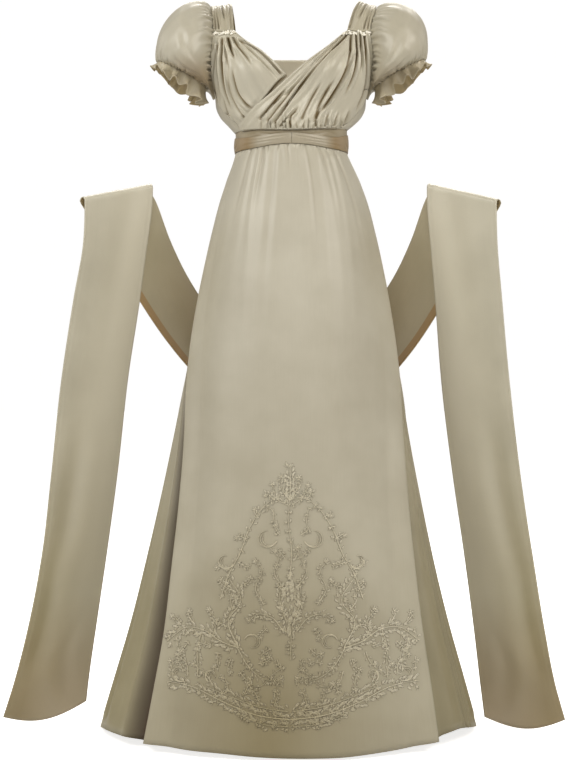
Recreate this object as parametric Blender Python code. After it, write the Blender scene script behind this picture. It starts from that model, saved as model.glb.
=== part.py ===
"""Regency gown in satin with its own stole. Every cut piece is a cloth wall of its own.

X runs to the wearer's left, Y to the back, Z up. The origin is on the body's axis, level
with the top of the shoulders, where the gown is held.
"""
from bisect import bisect_right
from functools import lru_cache
from math import asin, cos, degrees, exp, pi, radians, sin, sqrt

import bmesh
import bpy
import numpy as np
from mathutils import Vector
from mathutils.bvhtree import BVHTree

# Driving dimensions, in metres
WALL = 0.0015              # cloth thickness
SEAM = 0.0003              # gap between pieces at a seam
BENT_SEAM = 0.0010         # the same where the two walls meet at an angle
LAYER = 0.0030             # from the outer face of one layer to that of the layer over it
HEM_Z = -1.385
WAIST_Z = -0.277           # top of the skirt, where its table is read
BAND_Z = -0.252            # foot of the bodice, where its table is read
STOLE_WIDTH = 0.158
CREST = 0.009              # radius of the stole's turn over the forearm
BACK_STAND = 0.0022        # the bodice's back stands this far behind the side strips
SKIRT_SEAM_ANGLE = 104.0   # the skirt's side seam, from centre front
MERGE = 0.00001

SIGNS = {"right": -1, "left": 1}
SATIN = (0.52, 0.46, 0.34, 1)
PEARL = (0.80, 0.76, 0.66, 1)


class Table:
    """Rows with named columns, read along the first column on a smooth curve."""

    def __init__(self, columns, *rows):
        values = np.array(sorted(rows), float)
        self.key = values[:, 0]
        self.columns = dict(zip(columns.split(), values.T.tolist()))
        self.slopes = {
            name: np.gradient(column, self.key).tolist() for name, column in self.columns.items()
        }
        self.key = self.key.tolist()

    def at(self, column, where):
        values, slopes = self.columns[column], self.slopes[column]
        where = min(max(where, self.key[0]), self.key[-1])
        row = min(bisect_right(self.key, where), len(self.key) - 1) - 1
        step = self.key[row + 1] - self.key[row]
        t = (where - self.key[row]) / step
        start, end = values[row], values[row + 1]
        rise = t * t * (3 - 2 * t)
        bend = step * t * (1 - t) * ((1 - t) * slopes[row] - t * slopes[row + 1])
        return start + (end - start) * rise + bend


SKIRT = Table(
    "z centre half_width front_depth back_depth edge_right edge_left proud tuck",
    (-1.385, -0.0020, 0.3620, 0.262, 0.360, 44.3, 46.3, 0.0140, 0.010),
    (-1.300, -0.0010, 0.3375, 0.250, 0.340, 45.0, 47.8, 0.0130, 0.010),
    (-1.180, 0.0000, 0.3030, 0.232, 0.312, 46.3, 50.0, 0.0125, 0.010),
    (-1.070, 0.0005, 0.2760, 0.216, 0.287, 48.8, 52.6, 0.0120, 0.010),
    (-0.950, 0.0020, 0.2500, 0.201, 0.261, 52.0, 56.0, 0.0110, 0.010),
    (-0.830, 0.0035, 0.2270, 0.188, 0.237, 57.0, 61.0, 0.0100, 0.009),
    (-0.720, 0.0055, 0.2080, 0.175, 0.215, 65.5, 67.5, 0.0090, 0.009),
    (-0.600, 0.0068, 0.1845, 0.159, 0.188, 75.0, 75.0, 0.0080, 0.008),
    (-0.515, 0.0075, 0.1672, 0.145, 0.168, 80.0, 80.0, 0.0070, 0.008),
    (-0.430, 0.0078, 0.1488, 0.129, 0.145, 83.0, 83.0, 0.0060, 0.006),
    (-0.370, 0.0076, 0.1340, 0.115, 0.124, 84.5, 84.5, 0.0050, 0.003),
    (-0.340, 0.0070, 0.1246, 0.109, 0.112, 85.0, 85.0, 0.0042, -0.0002),
    (-0.300, 0.0052, 0.1127, 0.100, 0.098, 85.5, 85.5, 0.0020, -0.0002),
    (WAIST_Z, 0.0035, 0.1075, 0.095, 0.090, 86.0, 86.0, 0.0000, -0.0002),
)
# How far the hem rises round the skirt
HEM = Table(
    "angle lift",
    (-180.0, 0.0000),
    (-104.0, 0.0000),
    (-90.0, 0.0010),
    (-75.0, 0.0095),
    (-58.0, 0.0120),
    (-44.0, 0.0118),
    (-35.0, 0.0090),
    (-22.0, 0.0065),
    (-8.0, 0.0024),
    (6.0, 0.0000),
    (22.0, 0.0028),
    (36.0, 0.0080),
    (46.0, 0.0137),
    (58.0, 0.0225),
    (75.0, 0.0125),
    (90.0, 0.0010),
    (104.0, 0.0000),
    (180.0, 0.0000),
)
FRONT_GATHERS = Table(
    "place depth reach",
    (-0.500, 0.0020, 0.10),
    (-0.389, 0.0028, 0.16),
    (-0.278, 0.0022, 0.09),
    (-0.167, 0.0032, 0.14),
    (-0.056, 0.0026, 0.10),
    (0.056, 0.0036, 0.18),
    (0.167, 0.0024, 0.11),
    (0.278, 0.0034, 0.20),
    (0.389, 0.0026, 0.12),
    (0.500, 0.0036, 0.17),
    (0.611, 0.0026, 0.11),
)
FRONT_FOLDS = Table(
    "place waist hem width",
    (-0.62, 0.002, 0.004, 0.14),
    (-0.15, 0.000, 0.003, 0.20),
    (0.34, 0.002, 0.005, 0.16),
)
BACK_GATHERS = Table(
    "place depth reach",
    (-0.40, 0.0024, 0.12),
    (-0.30, 0.0034, 0.18),
    (-0.20, 0.0030, 0.15),
    (-0.10, 0.0038, 0.22),
    (0.00, 0.0030, 0.14),
    (0.10, 0.0040, 0.20),
    (0.20, 0.0030, 0.16),
    (0.30, 0.0036, 0.20),
    (0.40, 0.0024, 0.12),
)
BACK_FOLDS = Table(
    "place waist hem width",
    (-0.80, 0.000, 0.012, 0.070),
    (-0.52, 0.001, 0.022, 0.075),
    (-0.24, 0.003, 0.028, 0.070),
    (0.04, 0.003, 0.024, 0.080),
    (0.30, 0.003, 0.030, 0.070),
    (0.56, 0.001, 0.020, 0.075),
    (0.82, 0.000, 0.013, 0.070),
)
BELT = Table(
    "angle band_top top bottom",
    (-180.0, -0.2420, -0.2510, -0.2800),
    (-135.0, -0.2430, -0.2515, -0.2810),
    (-90.0, -0.2450, -0.2528, -0.2817),
    (-45.0, -0.2465, -0.2597, -0.2812),
    (0.0, -0.2505, -0.2551, -0.2751),
    (45.0, -0.2440, -0.2597, -0.2812),
    (90.0, -0.2380, -0.2460, -0.2817),
    (135.0, -0.2400, -0.2490, -0.2810),
    (180.0, -0.2420, -0.2510, -0.2800),
)
TORSO = Table(
    "z half_width front_depth squareness",
    (-0.252, 0.1075, 0.0950, 2.00),
    (-0.235, 0.1150, 0.0945, 2.05),
    (-0.220, 0.1255, 0.0925, 2.10),
    (-0.200, 0.1390, 0.0900, 2.20),
    (-0.186, 0.1460, 0.0885, 2.30),
    (-0.166, 0.1540, 0.0880, 2.40),
    (-0.130, 0.1660, 0.0860, 2.60),
    (-0.085, 0.1850, 0.0760, 2.60),
    (-0.040, 0.1950, 0.0620, 2.60),
)
CUP_X, CUP_Z, CUP_DEPTH, CUP_SPREAD = 0.068, -0.132, 0.028, 0.042
# The left front's neck edge, as a straight line over the right front: X is 0 at this height
CROSSING_Z, CROSSING_SLOPE = -0.1535, 0.98

# The armhole lies round an upright ring; height runs from -1 at its foot to 1 at its top.
ARM_Y, ARM_Z, ARM_HALF_DEPTH, ARM_HALF_HEIGHT = 0.004, -0.087, 0.064, 0.089
ARMHOLE = Table(
    "height right left",
    (-1.00, 0.1430, 0.1470),
    (-0.75, 0.1470, 0.1520),
    (-0.25, 0.1485, 0.1575),
    (0.40, 0.1450, 0.1535),
    (1.00, 0.1515, 0.1680),
)
ARMHOLE_CLEAR = 0.0028     # the sleeve passes this far inside the armhole's edge
JOIN_TURN = -60.0          # where the bodice's front side seam meets the armhole
TRIM_TURN = 17.5           # where the strap's front trim meets it
STRAP_BACK_TURN = 176.5    # where the strap meets the back neckline
SIDE_SEAM = Table(
    "share right_x right_z left_x left_z",
    (0.00, 0.0920, -0.2460, 0.0950, -0.2425),
    (0.25, 0.1020, -0.2290, 0.1080, -0.2300),
    (0.50, 0.1210, -0.2110, 0.1270, -0.2110),
    (0.75, 0.1370, -0.1880, 0.1430, -0.1880),
    (1.00, 0.1455, -0.1641, 0.1510, -0.1641),
)
# Neck edges of the two crossed fronts, from the waist up to the trim
NECK_EDGE = Table(
    "share right_x right_z left_x left_z",
    (0.00, 0.0670, -0.2440, -0.0905, -0.2460),
    (0.12, 0.0520, -0.2230, -0.0815, -0.2275),
    (0.27, 0.0320, -0.1940, -0.0650, -0.2075),
    (0.42, 0.0100, -0.1650, -0.0364, -0.1833),
    (0.60, -0.0200, -0.1310, -0.0050, -0.1540),
    (0.75, -0.0470, -0.1070, 0.0260, -0.1270),
    (0.88, -0.0750, -0.0850, 0.0620, -0.0990),
    (1.00, -0.1050, -0.0575, 0.1088, -0.0565),
)
STRAP_NECK = Table(
    "share right_x right_y right_z left_x left_y left_z",
    (0.00, 0.1050, -0.066, -0.0560, 0.1088, -0.066, -0.0550),
    (0.25, 0.1085, -0.042, -0.0200, 0.1210, -0.042, -0.0140),
    (0.50, 0.1120, -0.004, 0.0050, 0.1350, -0.004, 0.0110),
    (0.75, 0.1085, 0.042, -0.0200, 0.1280, 0.042, -0.0160),
    (1.00, 0.1040, 0.080, -0.0804, 0.1120, 0.080, -0.0804),
)
# Troughs in the bodice fronts: place runs from the armhole (0) to the neck edge (1),
# start and end from the waist (0) to the trim (1).
RIGHT_FOLDS = (
    # place, width, depth, start, end
    (0.93, 0.035, 0.0024, 0.15, 0.98),
    (0.72, 0.060, 0.0022, 0.50, 1.05),
    (0.50, 0.050, 0.0030, 0.10, 0.85),
    (0.33, 0.045, 0.0020, 0.60, 1.05),
    (0.22, 0.050, 0.0024, 0.05, 0.70),
)
LEFT_FOLDS = (
    (0.93, 0.030, 0.0022, 0.05, 0.95),
    (0.84, 0.035, 0.0040, 0.00, 1.05),
    (0.72, 0.035, 0.0024, 0.00, 0.62),
    (0.61, 0.040, 0.0034, 0.00, 1.05),
    (0.45, 0.045, 0.0024, 0.30, 1.05),
    (0.30, 0.045, 0.0028, 0.45, 1.05),
    (0.16, 0.045, 0.0026, 0.10, 1.05),
)
CROSSING_FADE = (-0.028, -0.010)   # the under front lies flat from here on towards the crossing
WAIST_GATHERS = 12
GATHER_DEPTH, GATHER_REACH = 0.0035, 0.22
SKIRT_GATHER_WIDTH = 0.045
SWELL = 0.005              # fullness of the fronts over the figure
UNDERARM_SWELL = 0.005     # fullness of the strips under the arms
BACK_SEAM_SWELL = 0.006
BACK_SWELL, BACK_NECK_BOW = 0.008, 0.022
BACK_SEAM_TURN = 114       # the bodice's back side seam at the waist, from centre front
BELT_SWELL = 0.0015
STRAP_SHARE = 0.15         # share of the back neckline that each strap takes
STRAP_RUCHING, STRAP_PLEATS = 0.0012, 3
SIDE_STRIP_SPAN = (0.008, 0.992)

# Rows of the walls whose edges run along more than one seam
SEAM_ROWS, FRONT_ROWS, BACK_ROWS, SLEEVE_ROWS = 4, 11, 9, 8

# Ends of each cuff's ring, as its X and Z
CUFF_OUTER = {"right": (0.2540, -0.1060), "left": (0.2600, -0.1030)}
CUFF_INNER = {"right": (0.1600, -0.1560), "left": (0.1630, -0.1560)}
CUFF_HALF_DEPTH, CUFF_Y = 0.058, -0.004
# How far the sleeve's head reaches out and up at the shoulder, and out above the cuff
SLEEVE_HEAD = {"right": (0.019, 0.040, 0.057), "left": (0.033, 0.029, 0.070)}
# The puff hangs over its cuff in front and behind
BLOUSE, BLOUSE_OUT = 1.25, 0.026
SLEEVE_GATHERS = 20
SLEEVE_GATHER_DEPTH, SLEEVE_GATHER_REACH = 0.0022, 0.22
FRILL_WAVES = 12
FRILL_OUTER, FRILL_INNER = 0.014, 0.038   # its depth at the outer and the inner side of the arm
FRILL_FLARE, FRILL_WAVE = 0.003, 0.006
FRILL_UNEVEN, FRILL_DIPS = 0.003, 5
BEADS = 9
BEAD = 0.0024
BEAD_WAIST = 0.72          # the thread's thickness between two beads, as a share of a bead's
TRIM_FRONT_AT, TRIM_TOP_AT = 0.05, 0.50

# The falls of the stole: X of the outer and the inner edge
FALL = Table(
    "z right_outer right_inner left_outer left_inner",
    (-1.375, 0.5527, 0.3985, 0.5295, 0.3797),
    (-1.300, 0.5261, 0.3925, 0.5063, 0.3720),
    (-1.200, 0.4994, 0.3790, 0.4861, 0.3610),
    (-1.060, 0.4713, 0.3590, 0.4629, 0.3430),
    (-0.900, 0.4525, 0.3375, 0.4387, 0.3200),
    (-0.720, 0.4333, 0.3180, 0.4175, 0.2985),
    (-0.560, 0.4116, 0.2960, 0.4052, 0.2885),
    (-0.460, 0.3953, 0.2850, 0.3983, 0.2820),
    (-0.370, 0.3933, 0.2745, 0.3973, 0.2755),
    (-0.343, 0.3933, 0.2735, 0.3973, 0.2750),
)
FALL_TOP = {"right": (-0.3705, -0.3325), "left": (-0.3745, -0.3320)}
FALL_FOOT = {"right": (-1.3640, -1.3440), "left": (-1.3680, -1.3740)}
FOOT_SAG = 0.018
FALL_BOW = 0.010
FALL_ROWS = 17
STOLE_SPLIT = 0.045        # share of the way to centre back where a fall ends
STOLE_SPLIT_GAP = 0.0035
# How far the stretch behind hangs below its table at its lower edge, and spreads at its upper one
BEHIND_DROP = {"right": -0.005, "left": 0.016}
BEHIND_SPREAD = {"right": 0.002, "left": 0.008}
# The stretch behind the back, from the turn over the forearm (0) to the centre (1)
BEHIND = Table(
    "share lower_x lower_y lower_z upper_x upper_y upper_z bow",
    (0.00, 0.4000, -0.038, -0.3835, 0.2765, 0.040, -0.3525, 0.000),
    (0.17, 0.3500, 0.018, -0.4700, 0.2590, 0.062, -0.3780, 0.010),
    (0.34, 0.2970, 0.072, -0.5660, 0.2350, 0.104, -0.4420, 0.018),
    (0.51, 0.2455, 0.140, -0.6480, 0.2000, 0.150, -0.5150, 0.022),
    (0.67, 0.1900, 0.190, -0.7150, 0.1500, 0.197, -0.5920, 0.020),
    (0.84, 0.1000, 0.232, -0.7950, 0.0850, 0.229, -0.6700, 0.014),
    (1.00, 0.0000, 0.252, -0.8360, 0.0000, 0.240, -0.7020, 0.010),
)


def lerp(start, end, share):
    return start + (end - start) * share


def smooth(value, low, high):
    """0 below low, 1 above high and an even rise between them."""
    share = min(max((value - low) / (high - low), 0), 1)
    return share * share * (3 - 2 * share)


def bump(value, centre, width):
    return exp(-(((value - centre) / width) ** 2))


def patch(left, right, foot, top):
    """Surface between four edges; left and right run up, foot and top run from left to right."""
    def point(u, v):
        ruled = lerp(left(v), right(v), u) + lerp(foot(u), top(u), v)
        corners = lerp(lerp(left(0), right(0), u), lerp(left(1), right(1), u), v)
        return ruled - corners
    return point


# ---------------------------------------------------------------- cloth walls

def finish(name, mesh, colour):
    data = bpy.data.meshes.new(name)
    mesh.to_mesh(data)
    mesh.free()
    data.shade_smooth()
    material = bpy.data.materials.new(name)
    material.use_nodes = True
    shader = material.node_tree.nodes["Principled BSDF"]
    shader.inputs["Base Color"].default_value = colour
    shader.inputs["Roughness"].default_value = 0.45
    data.materials.append(material)
    piece = bpy.data.objects.new(name, data)
    bpy.context.collection.objects.link(piece)
    return piece


def surface_mesh(surface, columns, rows, closed):
    mesh = bmesh.new()
    bmesh.ops.create_grid(mesh, x_segments=columns, y_segments=rows, size=0.5)
    for vert in mesh.verts:
        vert.co = surface(vert.co.x + 0.5, vert.co.y + 0.5)
    if closed:
        bmesh.ops.remove_doubles(mesh, verts=mesh.verts, dist=MERGE)
    return mesh


def face_away(mesh, inside):
    """Turns the faces so that they look away from a point inside the piece."""
    outward = sum((f.calc_center_median() - inside).dot(f.normal) * f.calc_area() for f in mesh.faces)
    if outward < 0:
        bmesh.ops.reverse_faces(mesh, faces=mesh.faces)


def wall(name, surface, columns, rows, inside, closed=False):
    """A piece of cloth whose outer face is surface(u, v), with u and v from 0 to 1."""
    mesh = surface_mesh(surface, columns, rows, closed)
    mesh.normal_update()
    face_away(mesh, Vector(inside))
    piece = finish(name, mesh, SATIN)
    cloth = piece.modifiers.new("Cloth", "SOLIDIFY")
    cloth.thickness = WALL
    cloth.offset = -1
    return piece


# ---------------------------------------------------------------- skirt

def ring_point(angle, z, centre, half_width, front_depth, back_depth, out):
    """Point on a level oval; angle is 0 at centre front and positive to the wearer's left."""
    turn = radians(angle)
    depth = front_depth if cos(turn) > 0 else back_depth
    normal = Vector((sin(turn) / half_width, -cos(turn) / depth, 0)).normalized()
    return Vector((centre + half_width * sin(turn), -depth * cos(turn), z)) + normal * out


def skirt_point(angle, rise, out):
    """Point of the skirt; rise is 0 at the hem and 1 at the waist."""
    form = lerp(HEM_Z, WAIST_Z, rise)
    z = lerp(HEM_Z + HEM.at("lift", wrap(angle)), BELT.at("bottom", wrap(angle)) - SEAM, rise)
    sizes = [SKIRT.at(column, form) for column in ("centre", "half_width", "front_depth", "back_depth")]
    return ring_point(angle, z, *sizes, out)


def wrap(angle):
    return (angle + 180) % 360 - 180


def skirt_rise(v):
    """Rows lie closer together towards the waist."""
    return 1 - (1 - v) ** 1.35


def skirt_form(column, rise):
    return SKIRT.at(column, lerp(HEM_Z, WAIST_Z, rise))


def gather_relief(gathers, place, rise):
    """Short ridges below the waist seam, each fading out down its own reach."""
    drop = (1 - rise) * (WAIST_Z - HEM_Z)
    start = smooth(drop, 0, 0.012)
    return sum(
        depth * bump(place, centre, SKIRT_GATHER_WIDTH) * exp(-drop / reach) * start
        for centre, depth, reach in zip(*(gathers.columns[c] for c in ("place", "depth", "reach")))
    )


def fold_relief(folds, place, rise):
    """Long folds from waist to hem, deepest at the hem."""
    columns = (folds.columns[c] for c in ("place", "waist", "hem", "width"))
    return sum(
        lerp(hem, waist, rise ** 0.7) * bump(place, centre, width)
        for centre, waist, hem, width in zip(*columns)
    )


def skirt_front_surface(u, v):
    place, rise = 2 * u - 1, skirt_rise(v)
    lift = LAYER * smooth(1 - rise, 0, 0.05) + skirt_form("proud", rise) * smooth(abs(place), 0.80, 1.0)
    relief = gather_relief(FRONT_GATHERS, place, rise) + fold_relief(FRONT_FOLDS, place, rise)
    relief *= smooth(1 - rise, 0, 0.02)
    right, left = skirt_form("edge_right", rise), skirt_form("edge_left", rise)
    angle = place * (left + right) / 2 + place ** 2 * (left - right) / 2
    return skirt_point(angle, rise, lift + relief)


def skirt_side_surface(side):
    sign = SIGNS[side]

    def point(u, v):
        rise = skirt_rise(v)
        tuck = degrees(skirt_form("tuck", rise) / skirt_form("half_width", rise))
        front = skirt_form(f"edge_{side}", rise) - tuck
        back = SKIRT_SEAM_ANGLE - degrees(SEAM / 2 / skirt_form("half_width", rise))
        return skirt_point(sign * lerp(front, back, u), rise, 0)
    return point


def skirt_back_surface(u, v):
    place, rise = 2 * u - 1, skirt_rise(v)
    half = 180 - SKIRT_SEAM_ANGLE - degrees(SEAM / 2 / skirt_form("half_width", rise))
    edge_fade = 1 - smooth(abs(place), 0.88, 1.0)
    relief = gather_relief(BACK_GATHERS, place, rise) + fold_relief(BACK_FOLDS, place, rise)
    relief *= smooth(1 - rise, 0, 0.02)
    return skirt_point(180 + place * half, rise, relief * edge_fade)


# ---------------------------------------------------------------- waistband and belt

def waist_point(angle, z, out):
    sizes = [SKIRT.at(column, WAIST_Z) for column in ("centre", "half_width", "front_depth", "back_depth")]
    return ring_point(angle, z, *sizes, out)


def waistband_surface(u, v):
    angle = 360 * u - 180
    z = lerp(BELT.at("bottom", angle), BELT.at("band_top", angle), v)
    return waist_point(angle, z, 0)


def belt_surface(sign):
    """Half of the belt, made from the waistband's points, moved out."""
    end = degrees(SEAM / 2 / SKIRT.at("front_depth", WAIST_Z))

    def point(u, v):
        angle = sign * min(max(180 * u, end), 180 - end)
        z = lerp(BELT.at("bottom", angle), BELT.at("top", angle), v)
        return waist_point(angle, z, WALL + SEAM + BELT_SWELL * sin(pi * v))
    return point


# ---------------------------------------------------------------- bodice

def waist_turn(x):
    """Angle from centre front of a point of the waist's front half."""
    across = (x - SKIRT.at("centre", WAIST_Z)) / SKIRT.at("half_width", WAIST_Z)
    return degrees(asin(min(max(across, -1), 1)))


def front_point(x, z, out):
    """Point on the front of the torso, with its cups, moved out by some distance."""
    near_waist = 1 - smooth(z, BAND_Z, -0.19)
    form = z - (BELT.at("band_top", waist_turn(x)) - BAND_Z) * near_waist
    half_width, depth, power = (TORSO.at(c, form) for c in ("half_width", "front_depth", "squareness"))
    across = x - SKIRT.at("centre", WAIST_Z) * near_waist
    side = min(abs(across) / half_width, 0.995)
    front = (1 - side ** power) ** (1 / power)
    cups = sum(bump(x, centre, CUP_SPREAD) for centre in (-CUP_X, CUP_X)) * bump(z, CUP_Z, CUP_SPREAD)
    sideways = side ** (power - 1) / half_width * (1 if across > 0 else -1)
    normal = Vector((sideways, -(front ** (power - 1)) / depth, 0)).normalized()
    return Vector((x, -depth * front - CUP_DEPTH * cups, z)) + normal * out


def armhole(side, turn, shrink=0.0, outward=0.0):
    """Point of the armhole seam; turn is 0 at the front and 90 at the shoulder."""
    height = sin(radians(turn))
    x = ARMHOLE.at(side, height) + outward
    y = ARM_Y - (ARM_HALF_DEPTH - shrink) * cos(radians(turn))
    return Vector((SIGNS[side] * x, y, ARM_Z + (ARM_HALF_HEIGHT - shrink) * height))


def side_seam(side, share):
    """Front side seam of the bodice, from the waist up to the armhole."""
    x = SIGNS[side] * SIDE_SEAM.at(side + "_x", share)
    z = SIDE_SEAM.at(side + "_z", share) + BENT_SEAM * (1 - share)
    point = front_point(x, z, 0)
    point.y = lerp(point.y, armhole(side, JOIN_TURN).y, share ** 3)
    return point


def neck_edge(side, share):
    return Vector((NECK_EDGE.at(side + "_x", share), 0, NECK_EDGE.at(side + "_z", share)))


def front_outer_edge(side, v):
    """Outer edge of a bodice front: side seam first, then the armhole up to the trim."""
    seam_share = SEAM_ROWS / FRONT_ROWS
    if v <= seam_share:
        return side_seam(side, v / seam_share)
    return armhole(side, lerp(JOIN_TURN, TRIM_TURN, (v - seam_share) / (1 - seam_share)))


def trough_relief(folds, u, v):
    return sum(
        depth * bump(u, place, width) * smooth(v, start - 0.08, start + 0.08)
        * (1 - smooth(v, end - 0.08, end + 0.08))
        for place, width, depth, start, end in folds
    )


def front_surface(side, folds, layer):
    """A crossed front: u from the armhole to the neck edge, v from the waist to the trim."""
    def outer(v):
        return front_outer_edge(side, v)

    def outer_flat(v):
        edge = outer(v)
        return Vector((edge.x, 0, edge.z))

    def foot(u):
        x = lerp(outer(0).x, neck_edge(side, 0).x, u)
        return Vector((x, 0, BELT.at("band_top", waist_turn(x)) + BENT_SEAM))

    def neck(v):
        point = neck_edge(side, v)
        point.z += (foot(1).z - neck_edge(side, 0).z) * (1 - v)
        return point

    def top(u):
        return lerp(outer_flat(1), neck(1), u)

    outline = patch(outer_flat, neck, foot, top)

    def point(u, v):
        flat = outline(u, v)
        inner = smooth(u, 0.0, 0.12) * (1 - smooth(v, 0.80, 1.0))
        full = smooth(u, 0.0, 0.15) * (1 - smooth(v, 0.90, 1.0)) * (1 - smooth(u, 0.9, 1.05))
        gathers = GATHER_DEPTH * (0.5 + 0.5 * cos(2 * pi * WAIST_GATHERS * u)) * exp(-v / GATHER_REACH)
        gathers *= smooth(v, 0, 0.06)
        relief = SWELL * full * sin(pi * min(v + 0.12, 1)) ** 0.5 + gathers * smooth(u, 0, 0.1)
        relief -= trough_relief(folds, u, v) * smooth(u, 0, 0.08)
        if layer == 0:
            crossing = (flat.z - CROSSING_Z) * CROSSING_SLOPE
            relief *= 1 - smooth(flat.x - crossing, *CROSSING_FADE)
        moved = front_point(flat.x, flat.z, layer * inner + max(relief, 0))
        edge = outer(v)
        moved.y += (edge.y - front_point(edge.x, edge.z, 0).y) * (1 - u) ** 3
        return moved
    return point


def bodice_side_surface(side):
    """The strip under the arm: u from the front seam to the back seam, v up to the armhole."""
    def front(v):
        return side_seam(side, v)

    def back(v):
        return back_side_seam(side, v)

    def foot(u):
        turn = lerp(waist_angle(front(0)), waist_angle(back(0)), u)
        z = BELT.at("band_top", wrap(turn)) + BENT_SEAM
        return waist_point(turn, z, 0)

    def top(u):
        return armhole(side, lerp(JOIN_TURN, -180 - JOIN_TURN, u))

    between_seams = patch(front, back, foot, top)

    def point(u, v):
        place = between_seams(lerp(*SIDE_STRIP_SPAN, u), v)
        place.x += SIGNS[side] * UNDERARM_SWELL * sin(pi * u) * sin(pi * v)
        return place
    return point


def waist_angle(point):
    """Angle round the waist of a point on it."""
    angle = waist_turn(point.x)
    if point.y > 0:
        angle = (180 if point.x > 0 else -180) - angle
    return angle


def back_side_seam(side, share):
    """Back side seam of the bodice, from the waist up to the armhole."""
    turn = SIGNS[side] * BACK_SEAM_TURN
    foot = waist_point(turn, BELT.at("band_top", turn) + BENT_SEAM, 0)
    top = armhole(side, -180 - JOIN_TURN)
    point = lerp(foot, top, share)
    point.x += SIGNS[side] * BACK_SEAM_SWELL * sin(pi * share)
    return point


def bodice_back_surface(u, v):
    seam_share = SEAM_ROWS / BACK_ROWS

    def edge(side, v):
        if v <= seam_share:
            return back_side_seam(side, v / seam_share)
        turn = lerp(-180 - JOIN_TURN, STRAP_BACK_TURN - 360, (v - seam_share) / (1 - seam_share))
        return armhole(side, turn)

    def foot(u):
        turn = lerp(waist_angle(edge("right", 0)) + 360, waist_angle(edge("left", 0)), u)
        return waist_point(turn, BELT.at("band_top", wrap(turn)) + BENT_SEAM, 0)

    def top(u):
        point = lerp(edge("right", 1), edge("left", 1), u)
        point.y += BACK_NECK_BOW * sin(pi * u)
        return point

    outline = patch(lambda v: edge("right", v), lambda v: edge("left", v), foot, top)
    point = outline(u, v)
    point.y += BACK_STAND + BACK_SWELL * sin(pi * u) * sin(pi * v)
    return point


# ---------------------------------------------------------------- straps, sleeves and trims

def strap_surface(side, front_top, back_top):
    """Shoulder strap: u from the armhole to the neck, v over the shoulder to the back."""
    def outer(v):
        return armhole(side, lerp(TRIM_TURN, STRAP_BACK_TURN, v))

    def neck(v):
        x, y, z = (STRAP_NECK.at(side + axis, v) for axis in ("_x", "_y", "_z"))
        return Vector((SIGNS[side] * x, y, z))

    @lru_cache(maxsize=None)
    def foot(u):
        return front_top(u) + Vector((0, SEAM, BENT_SEAM))

    @lru_cache(maxsize=None)
    def end(u):
        return back_top(u) + Vector((0, -SEAM, BENT_SEAM))

    def outer_edge(v):
        return outer(v) + lerp(foot(0) - outer(0), end(0) - outer(1), v)

    def neck_line(v):
        return neck(v) + lerp(foot(1) - neck(0), end(1) - neck(1), v)

    flat = patch(outer_edge, neck_line, foot, end)
    shoulder = shoulder_centre(side)

    def point(u, v):
        base = flat(u, v)
        ruching = STRAP_RUCHING * (0.5 - 0.5 * cos(2 * pi * STRAP_PLEATS * u)) * sin(pi * v) ** 0.4
        away = base - shoulder
        away.x = 0
        return base + away.normalized() * ruching
    return point


def shoulder_centre(side):
    """Middle of the arch that a strap makes over the shoulder."""
    return Vector((SIGNS[side] * 0.135, ARM_Y, ARM_Z))


def cuff_frame(side):
    """Centre, outward direction, forward direction and opening direction of a cuff's ring."""
    sign = SIGNS[side]
    outer = Vector((sign * CUFF_OUTER[side][0], CUFF_Y, CUFF_OUTER[side][1]))
    inner = Vector((sign * CUFF_INNER[side][0], CUFF_Y, CUFF_INNER[side][1]))
    outward = (outer - inner) / 2
    opening = Vector((sign * abs(outward.z), 0, -abs(outward.x))).normalized()
    return (outer + inner) / 2, outward, Vector((0, -CUFF_HALF_DEPTH, 0)), opening


def cuff_point(side, turn, out=0.0, along=0.0):
    centre, outward, forward, opening = cuff_frame(side)
    radial = outward * sin(radians(turn)) + forward * cos(radians(turn))
    return centre + radial * (1 + out / radial.length) + opening * along


def sleeve_surface(side):
    """Puff sleeve: u round the arm, v from the armhole to the elastic."""
    sign = SIGNS[side]
    centre, _, _, opening = cuff_frame(side)
    head_out, head_up, cap_out = SLEEVE_HEAD[side]
    entry = 1 / SLEEVE_ROWS

    def point(u, v):
        turn = 360 * u
        top = (0.5 + 0.5 * sin(radians(turn))) ** 1.2
        if v < entry * 0.5:
            return armhole(side, turn, shrink=ARMHOLE_CLEAR, outward=-0.0030)
        start = armhole(side, turn, shrink=ARMHOLE_CLEAR, outward=0.0008)
        if v < entry * 1.5:
            return start
        t = (v - entry) / (1 - entry)
        end = cuff_point(side, turn)
        ring = Vector((0, -cos(radians(turn)), sin(radians(turn))))
        radial = (end - centre).normalized()
        leave = Vector((sign * lerp(0.010, head_out, top), 0, 0)) + ring * lerp(0.012, head_up, top)
        leave += Vector((0, -0.030 * cos(radians(turn)), 0))
        front = cos(radians(turn)) ** 2
        arrive = -opening * lerp(0.010, 0.074, top) * (1 - BLOUSE * front)
        arrive += radial * (lerp(0.010, cap_out, top) + BLOUSE_OUT * front)
        curve = (
            start * (1 - t) ** 3 + (start + leave) * 3 * t * (1 - t) ** 2
            + (end + arrive) * 3 * t * t * (1 - t) + end * t ** 3
        )
        wave = cos(radians(turn * SLEEVE_GATHERS))
        at_shoulder = top * exp(-t / SLEEVE_GATHER_REACH) * smooth(t, 0, 0.1)
        at_cuff = exp(-(1 - t) / SLEEVE_GATHER_REACH)
        strength = SLEEVE_GATHER_DEPTH * (at_shoulder + at_cuff)
        away = curve - lerp(armhole_centre(side), centre, t)
        return curve + away.normalized() * wave * strength
    return point


def armhole_centre(side):
    return Vector((SIGNS[side] * 0.150, ARM_Y, ARM_Z))


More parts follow.
